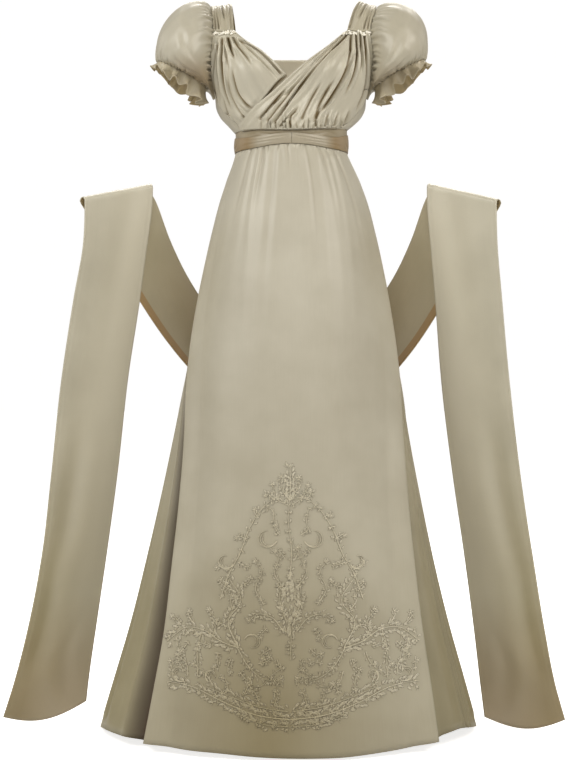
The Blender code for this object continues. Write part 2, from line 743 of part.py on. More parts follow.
def frill_surface(side):
    """Frill below the elastic, waved all round."""
    def point(u, v):
        turn = 360 * u
        wave = cos(radians(turn * FRILL_WAVES))
        out = FRILL_FLARE * v + FRILL_WAVE * wave * v
        depth = lerp(FRILL_INNER, FRILL_OUTER, 0.5 + 0.5 * sin(radians(turn)))
        along = SEAM + (depth + FRILL_UNEVEN * sin(radians(turn * FRILL_DIPS))) * v
        return cuff_point(side, turn, out, along)
    return point


def bead_row(name, strap, across_at, inside):
    """A row of beads across a strap, lying on its cloth."""
    stations = []
    for station in range(2 * BEADS + 1):
        u = lerp(0.04, 0.96, station / (2 * BEADS))
        place = strap(u, across_at)
        up = strap(u, across_at + 0.02) - place
        along = (strap(u + 0.02, across_at) - place).normalized()
        away = along.cross(up).normalized()
        if away.dot(place - inside) < 0:
            away = -away
        stations.append((place, along.cross(away), away))

    def surface(u, v):
        place, across, away = stations[round(v * 2 * BEADS)]
        swell = BEAD * (1.0 if round(v * 2 * BEADS) % 2 else BEAD_WAIST)
        turn = 2 * pi * u
        return place + away * (BEAD + SEAM) + (across * cos(turn) + away * sin(turn)) * swell

    mesh = surface_mesh(surface, 6, 2 * BEADS, closed=True)
    bmesh.ops.holes_fill(mesh, edges=[edge for edge in mesh.edges if edge.is_boundary])
    bmesh.ops.recalc_face_normals(mesh, faces=mesh.faces)
    return finish(name, mesh, PEARL)


# ---------------------------------------------------------------- stole

def fall_top(side, u):
    """Line where the stole turns over the forearm, from its outer to its inner edge."""
    z = lerp(*FALL_TOP[side], u)
    return fall_line(side, u, z)


def fall_line(side, u, z):
    outer, inner = (FALL.at(f"{side}_{edge}", z) for edge in ("outer", "inner"))
    half_depth = sqrt(max(STOLE_WIDTH ** 2 - (outer - inner) ** 2, 0.0)) / 2
    bow = FALL_BOW * 4 * u * (1 - u) * smooth(-z, 0.36, 0.5)
    return Vector((SIGNS[side] * lerp(outer, inner, u), lerp(-half_depth, half_depth, u) - bow, z))


def fall_front(side):
    """Level direction that the top of a fall faces."""
    along = fall_top(side, 1) - fall_top(side, 0)
    return Vector((abs(along.y) * -SIGNS[side], -abs(along.x), 0)).normalized()


def crest_point(side, u, turn):
    """Round turn over the forearm: 0 at the front, 90 at the top, 180 at the back."""
    centre = fall_top(side, u) - Vector((0, 0, CREST))
    return centre + fall_front(side) * CREST * cos(radians(turn)) + Vector((0, 0, CREST * sin(radians(turn))))


def behind_point(side, u, share):
    """Stretch behind the back; u from its upper to its lower edge, share from forearm to centre."""
    upper, lower, first_upper, first_lower = (
        Vector([BEHIND.at(edge + axis, at) for axis in "xyz"])
        for at in (share, 0) for edge in ("upper_", "lower_")
    )
    point = lerp(upper, lower, u)
    point.z -= BEHIND_DROP[side] * u * sin(pi * share)
    point.x += BEHIND_SPREAD[side] * (1 - u) * sin(pi * share)
    point.y += BEHIND.at("bow", share) * 4 * u * (1 - u)
    first = lerp(first_upper, first_lower, u)
    point.x *= SIGNS[side]
    first.x *= SIGNS[side]
    return point + (crest_point(side, 1 - u, 180) - first) * (1 - smooth(share, 0, 0.4))


def fall_surface(side):
    """Hanging end of the stole: u from its outer to its inner edge, v up and over the forearm."""
    rows, turn_rows = FALL_ROWS, 4
    hang_rows = rows - turn_rows - 1

    def point(u, v):
        row = round(v * rows)
        if row == rows:
            return behind_point(side, 1 - u, STOLE_SPLIT)
        if row >= hang_rows:
            return crest_point(side, u, 180 * (row - hang_rows) / turn_rows)
        share = row / hang_rows
        foot_z = lerp(*FALL_FOOT[side], u) - FOOT_SAG * sin(pi * u)
        top = crest_point(side, u, 0)
        hang = fall_line(side, u, lerp(foot_z, top.z, share))
        level = fall_line(side, u, top.z)
        return hang + (top - level) * smooth(share, 0.6, 1.0)
    return point


def behind_surface(u, v):
    """Stretch behind the back: u from its upper to its lower edge, v from right to left."""
    side = "right" if v < 0.5 else "left"
    share = lerp(STOLE_SPLIT + STOLE_SPLIT_GAP, 1, 1 - abs(2 * v - 1))
    return behind_point(side, u, share)


def evaluated_tree(piece):
    """The piece's finished faces and points."""
    depsgraph = bpy.context.evaluated_depsgraph_get()
    data = piece.evaluated_get(depsgraph).to_mesh()
    points = [piece.matrix_world @ vert.co for vert in data.vertices]
    faces = [tuple(face.vertices) for face in data.polygons]
    along = [lerp(points[edge.vertices[0]], points[edge.vertices[1]], share)
             for edge in data.edges for share in np.arange(0, 1, 0.05)]
    return BVHTree.FromPolygons(points, faces), along


def rest_against(moving, resting, panel):
    """Moves pieces along Y until one of them lies a seam's gap behind the panel."""
    panel_tree, panel_points = evaluated_tree(panel)
    rest_tree, rest_points = evaluated_tree(resting)
    away = Vector((0, 0.2, 0))
    gaps = [panel_tree.ray_cast(p + away, -away)[3] for p in rest_points]
    gaps += [rest_tree.ray_cast(p - away, away)[3] for p in panel_points if p.y > 0]
    shift = away.y + 2.7 * SEAM - min(gap for gap in gaps if gap is not None)
    for piece in moving:
        piece.data.transform(piece.matrix_world.Translation(Vector((0, shift, 0))))


# ---------------------------------------------------------------- the gown

def build_skirt():
    middle = (0, 0.03, -0.9)
    wall("skirt_front", skirt_front_surface, 36, 12, middle)
    back = wall("skirt_back", skirt_back_surface, 40, 12, middle)
    for side in SIGNS:
        wall(f"skirt_side_{side}", skirt_side_surface(side), 8, 12, middle)
    return back


def build_waist():
    middle = (0, 0, -0.265)
    wall("waistband", waistband_surface, 36, 1, middle, closed=True)
    for side, sign in SIGNS.items():
        wall(f"belt_{side}", belt_surface(sign), 18, 2, middle)


def build_bodice():
    middle = (0, 0.01, -0.17)
    right_front = front_surface("right", RIGHT_FOLDS, 0.0)
    left_front = front_surface("left", LEFT_FOLDS, LAYER)
    wall("bodice_front_right", right_front, 24, FRONT_ROWS, middle)
    wall("bodice_front_left", left_front, 36, FRONT_ROWS, middle)
    wall("bodice_back", bodice_back_surface, 16, BACK_ROWS, middle)
    for side in SIGNS:
        wall(f"bodice_side_{side}", bodice_side_surface(side), 6, 4, middle)
    return {"right": right_front, "left": left_front}


def build_shoulder(side, front):
    shoulder = shoulder_centre(side)

    def front_top(u):
        return front(u, 1)

    def back_top(u):
        share = u * STRAP_SHARE
        return bodice_back_surface(share if side == "right" else 1 - share, 1)

    strap = strap_surface(side, front_top, back_top)
    wall(f"strap_{side}", strap, 6, 12, shoulder)
    wall(f"sleeve_{side}", sleeve_surface(side), 40, SLEEVE_ROWS, cuff_frame(side)[0], closed=True)
    wall(f"frill_{side}", frill_surface(side), 48, 2, cuff_frame(side)[0], closed=True)

    bead_row(f"trim_front_{side}", strap, TRIM_FRONT_AT, shoulder)
    bead_row(f"trim_top_{side}", strap, TRIM_TOP_AT, shoulder)


def build_stole(skirt_back):
    pieces = [wall(f"stole_fall_{side}", fall_surface(side), 4, FALL_ROWS, (SIGNS[side] * 0.42, 0.5, -0.9))
              for side in SIGNS]
    behind = wall("stole_behind", behind_surface, 4, 28, (0, -0.5, -0.6))
    rest_against([*pieces, behind], behind, skirt_back)


for thing in list(bpy.data.objects):
    bpy.data.objects.remove(thing)
skirt_back_piece = build_skirt()
build_waist()
for side_name, front_piece in build_bodice().items():
    build_shoulder(side_name, front_piece)
build_stole(skirt_back_piece)
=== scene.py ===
"""Regency gown in champagne satin with its own stole, dressed on its frame.

X runs to the wearer's left, Y to the back, Z up, in metres.
"""
import random
from bisect import bisect_right
from functools import lru_cache
from math import asin, cos, degrees, dist, exp, pi, radians, sin, sqrt

import bmesh
import bpy
import numpy as np
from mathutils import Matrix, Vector
from mathutils.bvhtree import BVHTree


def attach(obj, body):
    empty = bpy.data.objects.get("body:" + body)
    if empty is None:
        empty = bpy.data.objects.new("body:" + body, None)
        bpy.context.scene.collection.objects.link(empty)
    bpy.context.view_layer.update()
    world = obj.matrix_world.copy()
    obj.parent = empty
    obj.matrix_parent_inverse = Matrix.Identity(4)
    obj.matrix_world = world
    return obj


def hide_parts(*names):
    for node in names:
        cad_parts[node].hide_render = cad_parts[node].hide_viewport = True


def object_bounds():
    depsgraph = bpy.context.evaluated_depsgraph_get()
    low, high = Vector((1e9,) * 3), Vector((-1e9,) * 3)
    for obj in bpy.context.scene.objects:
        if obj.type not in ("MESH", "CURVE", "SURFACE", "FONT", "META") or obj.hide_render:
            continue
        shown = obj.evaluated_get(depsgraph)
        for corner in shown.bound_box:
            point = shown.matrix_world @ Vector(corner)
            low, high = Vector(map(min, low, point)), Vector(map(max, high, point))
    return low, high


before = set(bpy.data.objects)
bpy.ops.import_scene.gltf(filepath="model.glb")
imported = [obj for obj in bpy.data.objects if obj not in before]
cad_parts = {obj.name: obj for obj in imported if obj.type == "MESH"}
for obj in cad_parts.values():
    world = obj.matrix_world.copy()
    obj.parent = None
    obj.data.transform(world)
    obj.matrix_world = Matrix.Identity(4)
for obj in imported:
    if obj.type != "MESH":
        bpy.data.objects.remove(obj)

cad_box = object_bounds()

# ---------------------------------------------------------------- sizes

# Driving dimensions, in metres; the tables further on are in millimetres
WALL = 0.0015              # cloth thickness
SEAM = 0.0003              # gap between pieces at a seam
BENT_SEAM = 0.0010         # the same where the two walls meet at an angle
LAYER = 0.0030             # from the outer face of one layer to that of the layer over it
HEM_Z = -1.385
WAIST_Z = -0.277           # top of the skirt, where its table ends
BAND_Z = -0.252            # foot of the bodice, where its table starts
STOLE_WIDTH = 0.158
CREST = 0.009              # radius of the stole's turn over the forearm
BACK_STAND = 0.0022        # the bodice's back stands this far behind the side strips
SKIRT_SEAM_ANGLE = 104.0   # the skirt's side seam, from centre front
MERGE = 0.00001

SIGNS = {"right": -1, "left": 1}
# Columns of the tables that hold degrees or shares; the others are lengths in millimetres
PLAIN = "angle edge_right edge_left place width share height squareness".split()


def metres(lengths):
    """A length in millimetres, or nested rows of them, in metres."""
    if isinstance(lengths, (int, float)):
        return lengths / 1000
    return tuple(metres(length) for length in lengths)


class Table:
    """Rows with named columns, read along the first column on a smooth curve, lengths in metres."""

    def __init__(self, columns, *rows):
        names = columns.split()
        values = np.array(sorted(rows), float) / [1 if name in PLAIN else 1000 for name in names]
        self.key = values[:, 0].tolist()
        self.columns = dict(zip(names, values.T.tolist()))
        self.slopes = {name: np.gradient(column, self.key).tolist() for name, column in self.columns.items()}

    def at(self, column, where):
        values, slopes = self.columns[column], self.slopes[column]
        where = min(max(where, self.key[0]), self.key[-1])
        row = min(bisect_right(self.key, where), len(self.key) - 1) - 1
        step = self.key[row + 1] - self.key[row]
        t = (where - self.key[row]) / step
        start, end = values[row], values[row + 1]
        rise = t * t * (3 - 2 * t)
        bend = step * t * (1 - t) * ((1 - t) * slopes[row] - t * slopes[row + 1])
        return start + (end - start) * rise + bend


SKIRT = Table(
    "z centre half_width front_depth back_depth edge_right edge_left proud tuck",
    (-1385, -2, 362, 262, 360, 44.3, 46.3, 14, 10),
    (-1300, -1, 337.5, 250, 340, 45, 47.8, 13, 10),
    (-1180, 0, 303, 232, 312, 46.3, 50, 12.5, 10),
    (-1070, 0.5, 276, 216, 287, 48.8, 52.6, 12, 10),
    (-950, 2, 250, 201, 261, 52, 56, 11, 10),
    (-830, 3.5, 227, 188, 237, 57, 61, 10, 9),
    (-720, 5.5, 208, 175, 215, 65.5, 67.5, 9, 9),
    (-600, 6.8, 184.5, 159, 188, 75, 75, 8, 8),
    (-515, 7.5, 167.2, 145, 168, 80, 80, 7, 8),
    (-430, 7.8, 148.8, 129, 145, 83, 83, 6, 6),
    (-370, 7.6, 134, 115, 124, 84.5, 84.5, 5, 3),
    (-340, 7, 124.6, 109, 112, 85, 85, 4.2, -0.2),
    (-300, 5.2, 112.7, 100, 98, 85.5, 85.5, 2, -0.2),
    (-277, 3.5, 107.5, 95, 90, 86, 86, 0, -0.2),
)
# How far the hem rises round the skirt; angle 0 is at centre front
HEM = Table(
    "angle lift",
    (-180, 0), (-104, 0), (-90, 1), (-75, 9.5), (-58, 12), (-44, 11.8), (-35, 9), (-22, 6.5), (-8, 2.4),
    (6, 0), (22, 2.8), (36, 8), (46, 13.7), (58, 22.5), (75, 12.5), (90, 1), (104, 0), (180, 0),
)
# Gathers under the waist and long folds down the skirt; place runs from -1 to 1 across the panel
FRONT_GATHERS = Table(
    "place depth reach",
    (-0.5, 2, 100), (-0.389, 2.8, 160), (-0.278, 2.2, 90), (-0.167, 3.2, 140), (-0.056, 2.6, 100),
    (0.056, 3.6, 180), (0.167, 2.4, 110), (0.278, 3.4, 200), (0.389, 2.6, 120), (0.5, 3.6, 170),
    (0.611, 2.6, 110),
)
FRONT_FOLDS = Table(
    "place waist hem width",
    (-0.62, 2, 4, 0.14), (-0.15, 0, 3, 0.2), (0.34, 2, 5, 0.16),
)
BACK_GATHERS = Table(
    "place depth reach",
    (-0.4, 2.4, 120), (-0.3, 3.4, 180), (-0.2, 3, 150), (-0.1, 3.8, 220), (0, 3, 140), (0.1, 4, 200),
    (0.2, 3, 160), (0.3, 3.6, 200), (0.4, 2.4, 120),
)
BACK_FOLDS = Table(
    "place waist hem width",
    (-0.8, 0, 12, 0.07), (-0.52, 1, 22, 0.075), (-0.24, 3, 28, 0.07), (0.04, 3, 24, 0.08),
    (0.3, 3, 30, 0.07), (0.56, 1, 20, 0.075), (0.82, 0, 13, 0.07),
)
# Edges of the waistband and the belt round the waist
BELT = Table(
    "angle band_top top bottom",
    (-180, -242, -251, -280), (-135, -243, -251.5, -281), (-90, -245, -252.8, -281.7),
    (-45, -246.5, -259.7, -281.2), (0, -250.5, -255.1, -275.1), (45, -244, -259.7, -281.2),
    (90, -238, -246, -281.7), (135, -240, -249, -281), (180, -242, -251, -280),
)
TORSO_LIMIT = 0.995        # share of the half width where the front's curve is cut off
TORSO = Table(
    "z half_width front_depth squareness",
    (-252, 107.5, 95, 2), (-235, 115, 94.5, 2.05), (-220, 125.5, 92.5, 2.1), (-200, 139, 90, 2.2),
    (-186, 146, 88.5, 2.3), (-166, 154, 88, 2.4), (-130, 166, 86, 2.6), (-85, 185, 76, 2.6),
    (-40, 195, 62, 2.6),
)
CUP_X, CUP_Z, CUP_DEPTH, CUP_SPREAD = 0.068, -0.132, 0.028, 0.042
# The left front's neck edge, as a straight line over the right front: X is 0 at this height
CROSSING_Z, CROSSING_SLOPE = -0.1535, 0.98

# The armhole lies round an upright ring; height runs from -1 at its foot to 1 at its top.
ARM_X, ARM_Y, ARM_Z, ARM_HALF_DEPTH, ARM_HALF_HEIGHT = 0.150, 0.004, -0.087, 0.064, 0.089
ARMHOLE = Table(
    "height right left",
    (-1, 143, 147), (-0.75, 147, 152), (-0.25, 148.5, 157.5), (0.4, 145, 153.5), (1, 151.5, 168),
)
ARMHOLE_CLEAR = 0.0028     # the sleeve passes this far inside the armhole's edge
JOIN_TURN = -60.0          # where the bodice's front side seam meets the armhole
TRIM_TURN = 17.5           # where the strap's front trim meets it
STRAP_BACK_TURN = 176.5    # where the strap meets the back neckline
SIDE_SEAM = Table(
    "share right_x right_z left_x left_z",
    (0, 92, -246, 95, -242.5), (0.25, 102, -229, 108, -230), (0.5, 121, -211, 127, -211),
    (0.75, 137, -188, 143, -188), (1, 145.5, -164.1, 151, -164.1),
)
# Neck edges of the two crossed fronts, from the waist up to the trim
NECK_EDGE = Table(
    "share right_x right_z left_x left_z",
    (0, 67, -244, -90.5, -246), (0.12, 52, -223, -81.5, -227.5), (0.27, 32, -194, -65, -207.5),
    (0.42, 10, -165, -36.4, -183.3), (0.6, -20, -131, -5, -154), (0.75, -47, -107, 26, -127),
    (0.88, -75, -85, 62, -99), (1, -105, -57.5, 108.8, -56.5),
)
STRAP_NECK = Table(
    "share right_x right_y right_z left_x left_y left_z",
    (0, 105, -66, -56, 108.8, -66, -55),
    (0.25, 108.5, -42, -20, 121, -42, -14),
    (0.5, 112, -4, 5, 135, -4, 11),
    (0.75, 108.5, 42, -20, 128, 42, -16),
    (1, 104, 80, -80.4, 112, 80, -80.4),
)
# Troughs in the bodice fronts: place runs from the armhole (0) to the neck edge (1),
# start and end from the waist (0) to the trim (1).
RIGHT_FOLDS = (
    # place, width, depth, start, end
    (0.93, 0.035, 0.0024, 0.15, 0.98),
    (0.72, 0.060, 0.0022, 0.50, 1.05),
    (0.50, 0.050, 0.0030, 0.10, 0.85),
    (0.33, 0.045, 0.0020, 0.60, 1.05),
    (0.22, 0.050, 0.0024, 0.05, 0.70),
)
LEFT_FOLDS = (
    (0.93, 0.030, 0.0022, 0.05, 0.95),
    (0.84, 0.035, 0.0040, 0.00, 1.05),
    (0.72, 0.035, 0.0024, 0.00, 0.62),
    (0.61, 0.040, 0.0034, 0.00, 1.05),
    (0.45, 0.045, 0.0024, 0.30, 1.05),
    (0.30, 0.045, 0.0028, 0.45, 1.05),
    (0.16, 0.045, 0.0026, 0.10, 1.05),
)
CROSSING_FADE = (-0.028, -0.010)   # the under front lies flat from here on towards the crossing
WAIST_GATHERS = 12         # of each front, over the waistband
GATHER_DEPTH, GATHER_REACH = 0.0035, 0.22
NECK_ROLL = 0.0022         # height of the turned neck edge
CORNER_REACH = 0.16        # stretch over which the cloth smooths the outer edge's corner
SKIRT_GATHER_WIDTH = 0.045
GATHER_START = 0.012       # the skirt's gathers rise over this length below the seam
WAIST_FADE = 0.02          # share of the skirt's height over which its folds rise below the waist
PROUD_FADE = (0.80, 1.0)   # part of the front panel's half over which its edge comes to stand out
SWELL = 0.005              # fullness of the fronts over the figure
UNDERARM_SWELL = 0.005     # fullness of the strips under the arms
BACK_SEAM_SWELL = 0.006
BACK_SWELL, BACK_NECK_BOW = 0.008, 0.022
BACK_SEAM_TURN = 114       # the bodice's back side seam at the waist, from centre front
BELT_SWELL = 0.0015
STRAP_SHARE = 0.15         # share of the back neckline that each strap takes
STRAP_X = 0.135            # middle of the strap's arch
STRAP_RUCHING, STRAP_PLEATS = 0.0012, 3
SIDE_STRIP_SPAN = (0.008, 0.992)

# Share of a front's and of the back's outer edge that the side seam takes, below the armhole
FRONT_SEAM_SHARE, BACK_SEAM_SHARE = 4 / 11, 4 / 9

# Ends of each cuff's ring, as its X and Z
CUFF_OUTER = {"right": (0.2540, -0.1060), "left": (0.2600, -0.1030)}
CUFF_INNER = {"right": (0.1600, -0.1560), "left": (0.1630, -0.1560)}
CUFF_HALF_DEPTH, CUFF_Y = 0.058, -0.004
# How far the sleeve reaches out and up at the shoulder, and out above the cuff; then the same under the arm
SLEEVE_HEAD = {"right": (0.019, 0.040, 0.057), "left": (0.033, 0.029, 0.070)}
SLEEVE_FOOT = (0.010, 0.012, 0.010)
SLEEVE_FRONT = 0.030       # how far it leaves the armhole to the front and the back
SLEEVE_ENTRY = 0.04        # share of its length that lies inside the armhole
SLEEVE_INSIDE = (-0.0030, 0.0008)   # where that part starts and ends, outward from the armhole
CUFF_HANG = (0.010, 0.074)   # how far its curve arrives along the opening, under the arm and over it
# The puff hangs over its cuff in front and behind
BLOUSE, BLOUSE_OUT = 1.25, 0.026
SLEEVE_GATHERS = 20
SLEEVE_GATHER_DEPTH, SLEEVE_GATHER_REACH = 0.0022, 0.22
FRILL_WAVES = 13
FRILL_OUTER, FRILL_INNER = 0.014, 0.038   # its depth at the outer and the inner side of the arm
FRILL_FLARE, FRILL_WAVE, FRILL_CURL = 0.003, 0.0088, 0.008
FRILL_UNEVEN, FRILL_DIPS = 0.003, 5
FRILL_LIFT = 0.34          # how far its edge rolls up where a wave stands out
# Double rows of pearls: place up the cloth, number, radius, and how far they stray up and down
PEARL_ROWS = {"trim_front": (0.985, 30, 0.0021, 0.0294), "trim_top": (0.50, 16, 0.0017, 0.0238)}

# The falls of the stole: X of the outer and the inner edge
FALL = Table(
    "z right_outer right_inner left_outer left_inner",
    (-1375, 552.7, 398.5, 529.5, 379.7), (-1300, 526.1, 392.5, 506.3, 372),
    (-1200, 499.4, 379, 486.1, 361), (-1060, 471.3, 359, 462.9, 343), (-900, 452.5, 337.5, 438.7, 320),
    (-720, 433.3, 318, 417.5, 298.5), (-560, 411.6, 296, 405.2, 288.5), (-460, 395.3, 285, 398.3, 282),
    (-370, 393.3, 274.5, 397.3, 275.5), (-343, 393.3, 273.5, 397.3, 275),
)
FALL_TOP = {"right": (-0.3705, -0.3325), "left": (-0.3745, -0.3320)}
FALL_FOOT = {"right": (-1.3640, -1.3440), "left": (-1.3680, -1.3740)}
FOOT_SAG = 0.018
FALL_BOW = 0.010
FALL_HANG, FALL_TURN = 0.93, 0.985   # shares of its length where it starts and ends its turn
STOLE_SPLIT = 0.045        # share of the way to centre back where a fall ends
STOLE_SPLIT_GAP = 0.0035
# How far the stretch behind hangs below its table at its lower edge, and spreads at its upper one
BEHIND_DROP = {"right": -0.005, "left": 0.016}
BEHIND_SPREAD = {"right": 0.002, "left": 0.008}
# The stretch behind the back, from the turn over the forearm (0) to the centre (1)
BEHIND = Table(
    "share lower_x lower_y lower_z upper_x upper_y upper_z bow",
    (0, 400, -38, -383.5, 276.5, 40, -352.5, 0),
    (0.17, 350, 18, -470, 259, 62, -378, 10),
    (0.34, 297, 72, -566, 235, 104, -442, 18),
    (0.51, 245.5, 140, -648, 200, 150, -515, 22),
    (0.67, 190, 190, -715, 150, 197, -592, 20),
    (0.84, 100, 232, -795, 85, 229, -670, 14),
    (1, 0, 252, -836, 0, 240, -702, 10),
)


def lerp(start, end, share):
    return start + (end - start) * share


def smooth(value, low, high):
    """0 below low, 1 above high and an even rise between them."""
    share = min(max((value - low) / (high - low), 0), 1)
    return share * share * (3 - 2 * share)


def bump(value, centre, width):
    return exp(-(((value - centre) / width) ** 2))


def patch(left, right, foot, top):
    """Surface between four edges; left and right run up, foot and top run from left to right."""
    def point(u, v):
        ruled = lerp(left(v), right(v), u) + lerp(foot(u), top(u), v)
        corners = lerp(lerp(left(0), right(0), u), lerp(left(1), right(1), u), v)
        return ruled - corners
    return point


# ---------------------------------------------------------------- materials

def linear(colour):
    """A six-figure sRGB hex colour as linear values."""
    shares = [int(colour[place:place + 2], 16) / 255 for place in (0, 2, 4)]
    return [share / 12.92 if share <= 0.04045 else ((share + 0.055) / 1.055) ** 2.4 for share in shares]


def add_node(tree, kind, settings, links):
    """Adds a node; settings name its inputs or its own properties, links name the sockets that feed it."""
    node = tree.nodes.new(kind)
    for key, value in settings.items():
        if isinstance(key, int) or key in node.inputs:
            node.inputs[key].default_value = value
        else:
            setattr(node, key, value)
    for key, source in links.items():
        tree.links.new(source, node.inputs[key])
    return node


def new_material(name, values):
    """A material with these values on its shader's sockets."""
    material = bpy.data.materials.new(name)
    material.use_nodes = True
    shader = material.node_tree.nodes["Principled BSDF"]
    for socket, value in values.items():
        shader.inputs[socket].default_value = value
    return material, material.node_tree, shader


def mixed(tree, share, dark, light):
    """Colour between two hex colours, by a socket from 0 to 1."""
    ramp = add_node(tree, "ShaderNodeValToRGB", {}, {"Fac": share})
    for stop, (place, colour) in zip(ramp.color_ramp.elements, ((0.30, dark), (0.70, light))):
        stop.position = place
        stop.color = (*linear(colour), 1)
    return ramp.outputs["Color"]


# Sockets of a mix of two colours
MIX_FACTOR, MIX_A, MIX_B, MIX_OUT = 0, 6, 7, 2


def tinted(tree, colour, share, tint, blend="MULTIPLY"):
    """A colour with a tint laid over it, as strongly as a socket from 0 to 1 says."""
    settings = {"data_type": "RGBA", "blend_type": blend, MIX_B: (*linear(tint), 1)}
    return add_node(tree, "ShaderNodeMix", settings, {MIX_FACTOR: share, MIX_A: colour}).outputs[MIX_OUT]


def grain(tree, cut, width, length, detail):
    """Noise along the cloth's own lay, in grains of a width and a length in metres."""
    lay = add_node(tree, "ShaderNodeMapping", {"Scale": (1 / width, 1 / length, 1)}, {"Vector": cut})
    return add_node(tree, "ShaderNodeTexNoise", {"Scale": 1.0, "Detail": detail},
                    {"Vector": lay.outputs["Vector"]}).outputs["Fac"]


def round_shade(tree, colour, centre, reach, tint):
    """A colour darkened softly round a place, as painted shade."""
    place = add_node(tree, "ShaderNodeTexCoord", {}, {}).outputs["Object"]
    near = add_node(tree, "ShaderNodeMapping", {"vector_type": "TEXTURE", "Location": centre, "Scale": reach},
                    {"Vector": place})
    near = add_node(tree, "ShaderNodeTexGradient", {"gradient_type": "SPHERICAL"},
                    {"Vector": near.outputs["Vector"]})
    return tinted(tree, colour, near.outputs["Fac"], tint)


HEM_SHADE_TOP, HEM_SHADE_FOOT = -0.60, -1.40          # heights between which the colour darkens, as painted shade
CREASE_START, CREASE_FULL = 0.0006, 0.0050   # depths between which a crease takes its painted shade
# Round patches of painted shade: centre, reach and tint
NEEDLEWORK_SHADE = ((-0.040, -0.22, -1.370), (0.25, 0.40, 0.46), "bfb491")
FALL_FEET_SHADE = ((0.0, -0.20, -1.400), (1.10, 0.80, 0.30), "bea280")
LINING_SHADE = ((0.0, 0.15, -0.58), (0.300, 0.50, 0.36), "80592a")
PUFF_SHADE = {
    "right": ((-0.180, -0.08, -0.168), (0.100, 0.11, 0.066), "b39260"),
    "left": ((0.215, -0.08, -0.180), (0.095, 0.11, 0.062), "b39260"),
}


def satin(name, dark, light, roughness, band=None, foot="dedac6", shade_patch=None, creases=None):
    """Five-end silk satin: long floats run down each cut piece and give a broad soft sheen.

    A band is a second colour, from one place across the cut to another, where it is full: painted shade, and
    on the falls painted light. Foot darkens the colour towards the hem as painted shade, the round patch is
    painted shade, and creases darken the cloth down in their folds as painted shade.
    """
    material, tree, shader = new_material(name, {
        "IOR": 1.5, "Specular IOR Level": 0.62, "Coat Weight": 0.10, "Coat Roughness": 0.42,
        "Sheen Weight": 0.12, "Sheen Roughness": 0.45, "Sheen Tint": (*linear("efe6cf"), 1),
    })
    cut = add_node(tree, "ShaderNodeUVMap", {"uv_map": "Cut"}, {}).outputs["UV"]
    place = add_node(tree, "ShaderNodeTexCoord", {}, {}).outputs["Object"]
    # The floats are 0.2 mm wide in the real cloth; drawn 1.6 mm wide so that they show
    floats = grain(tree, cut, 0.0016, 0.060, 2.0)
    # Slubs: a heavier thread every few centimetres, lying across
    slubs = grain(tree, cut, 0.050, 0.0040, 1.0)
    # Silk takes its dye and its handling unevenly over a hand's breadth
    mottle = add_node(tree, "ShaderNodeTexNoise", {"Scale": 1 / 0.120, "Detail": 3.0, "Roughness": 0.55},
                      {"Vector": place}).outputs["Fac"]
    # The floats shift the mottle's shade a little both ways
    shade = add_node(tree, "ShaderNodeMath", {"operation": "MULTIPLY_ADD", 1: 0.22}, {0: floats, 2: mottle})
    shade = add_node(tree, "ShaderNodeMath", {"operation": "SUBTRACT", 1: 0.11}, {0: shade.outputs[0]})
    colour = mixed(tree, shade.outputs[0], dark, light)
    # Darker and warmer towards the hem: painted shade, as the light falls off downward
    height = add_node(tree, "ShaderNodeSeparateXYZ", {}, {"Vector": place}).outputs["Z"]
    depth = add_node(tree, "ShaderNodeMapRange",
                     {"From Min": HEM_SHADE_TOP, "From Max": HEM_SHADE_FOOT, "interpolation_type": "SMOOTHSTEP"},
                     {"Value": height})
    colour = tinted(tree, colour, depth.outputs["Result"], foot)
    # Darker down in the creases: painted shade
    if creases:
        fold = add_node(tree, "ShaderNodeAttribute", {"attribute_name": "fold"}, {}).outputs["Fac"]
        sunk = add_node(tree, "ShaderNodeMapRange", {"From Min": CREASE_START, "From Max": CREASE_FULL},
                        {"Value": fold})
        colour = tinted(tree, colour, sunk.outputs["Result"], creases)
    # A band of painted shade across the cut; on the falls, one of painted light
    if band:
        start, full, band_colour = band
        across_cut = add_node(tree, "ShaderNodeSeparateXYZ", {}, {"Vector": cut}).outputs["X"]
        past = add_node(tree, "ShaderNodeMapRange", {"From Min": start, "From Max": full},
                        {"Value": across_cut})
        colour = tinted(tree, colour, past.outputs["Result"], band_colour, "MIX")
    # A soft round patch of painted shade
    if shade_patch:
        colour = round_shade(tree, colour, *shade_patch)
    tree.links.new(colour, shader.inputs["Base Color"])
    rough = add_node(tree, "ShaderNodeMapRange", {"To Min": roughness - 0.04, "To Max": roughness + 0.06},
                     {"Value": mottle})
    tree.links.new(rough.outputs["Result"], shader.inputs["Roughness"])
    relief = add_node(tree, "ShaderNodeBump", {"Strength": 0.10, "Distance": 0.0006}, {"Height": floats})
    relief = add_node(tree, "ShaderNodeBump", {"Strength": 0.06, "Distance": 0.0008},
                      {"Height": slubs, "Normal": relief.outputs["Normal"]})
    tree.links.new(relief.outputs["Normal"], shader.inputs["Normal"])
    return material


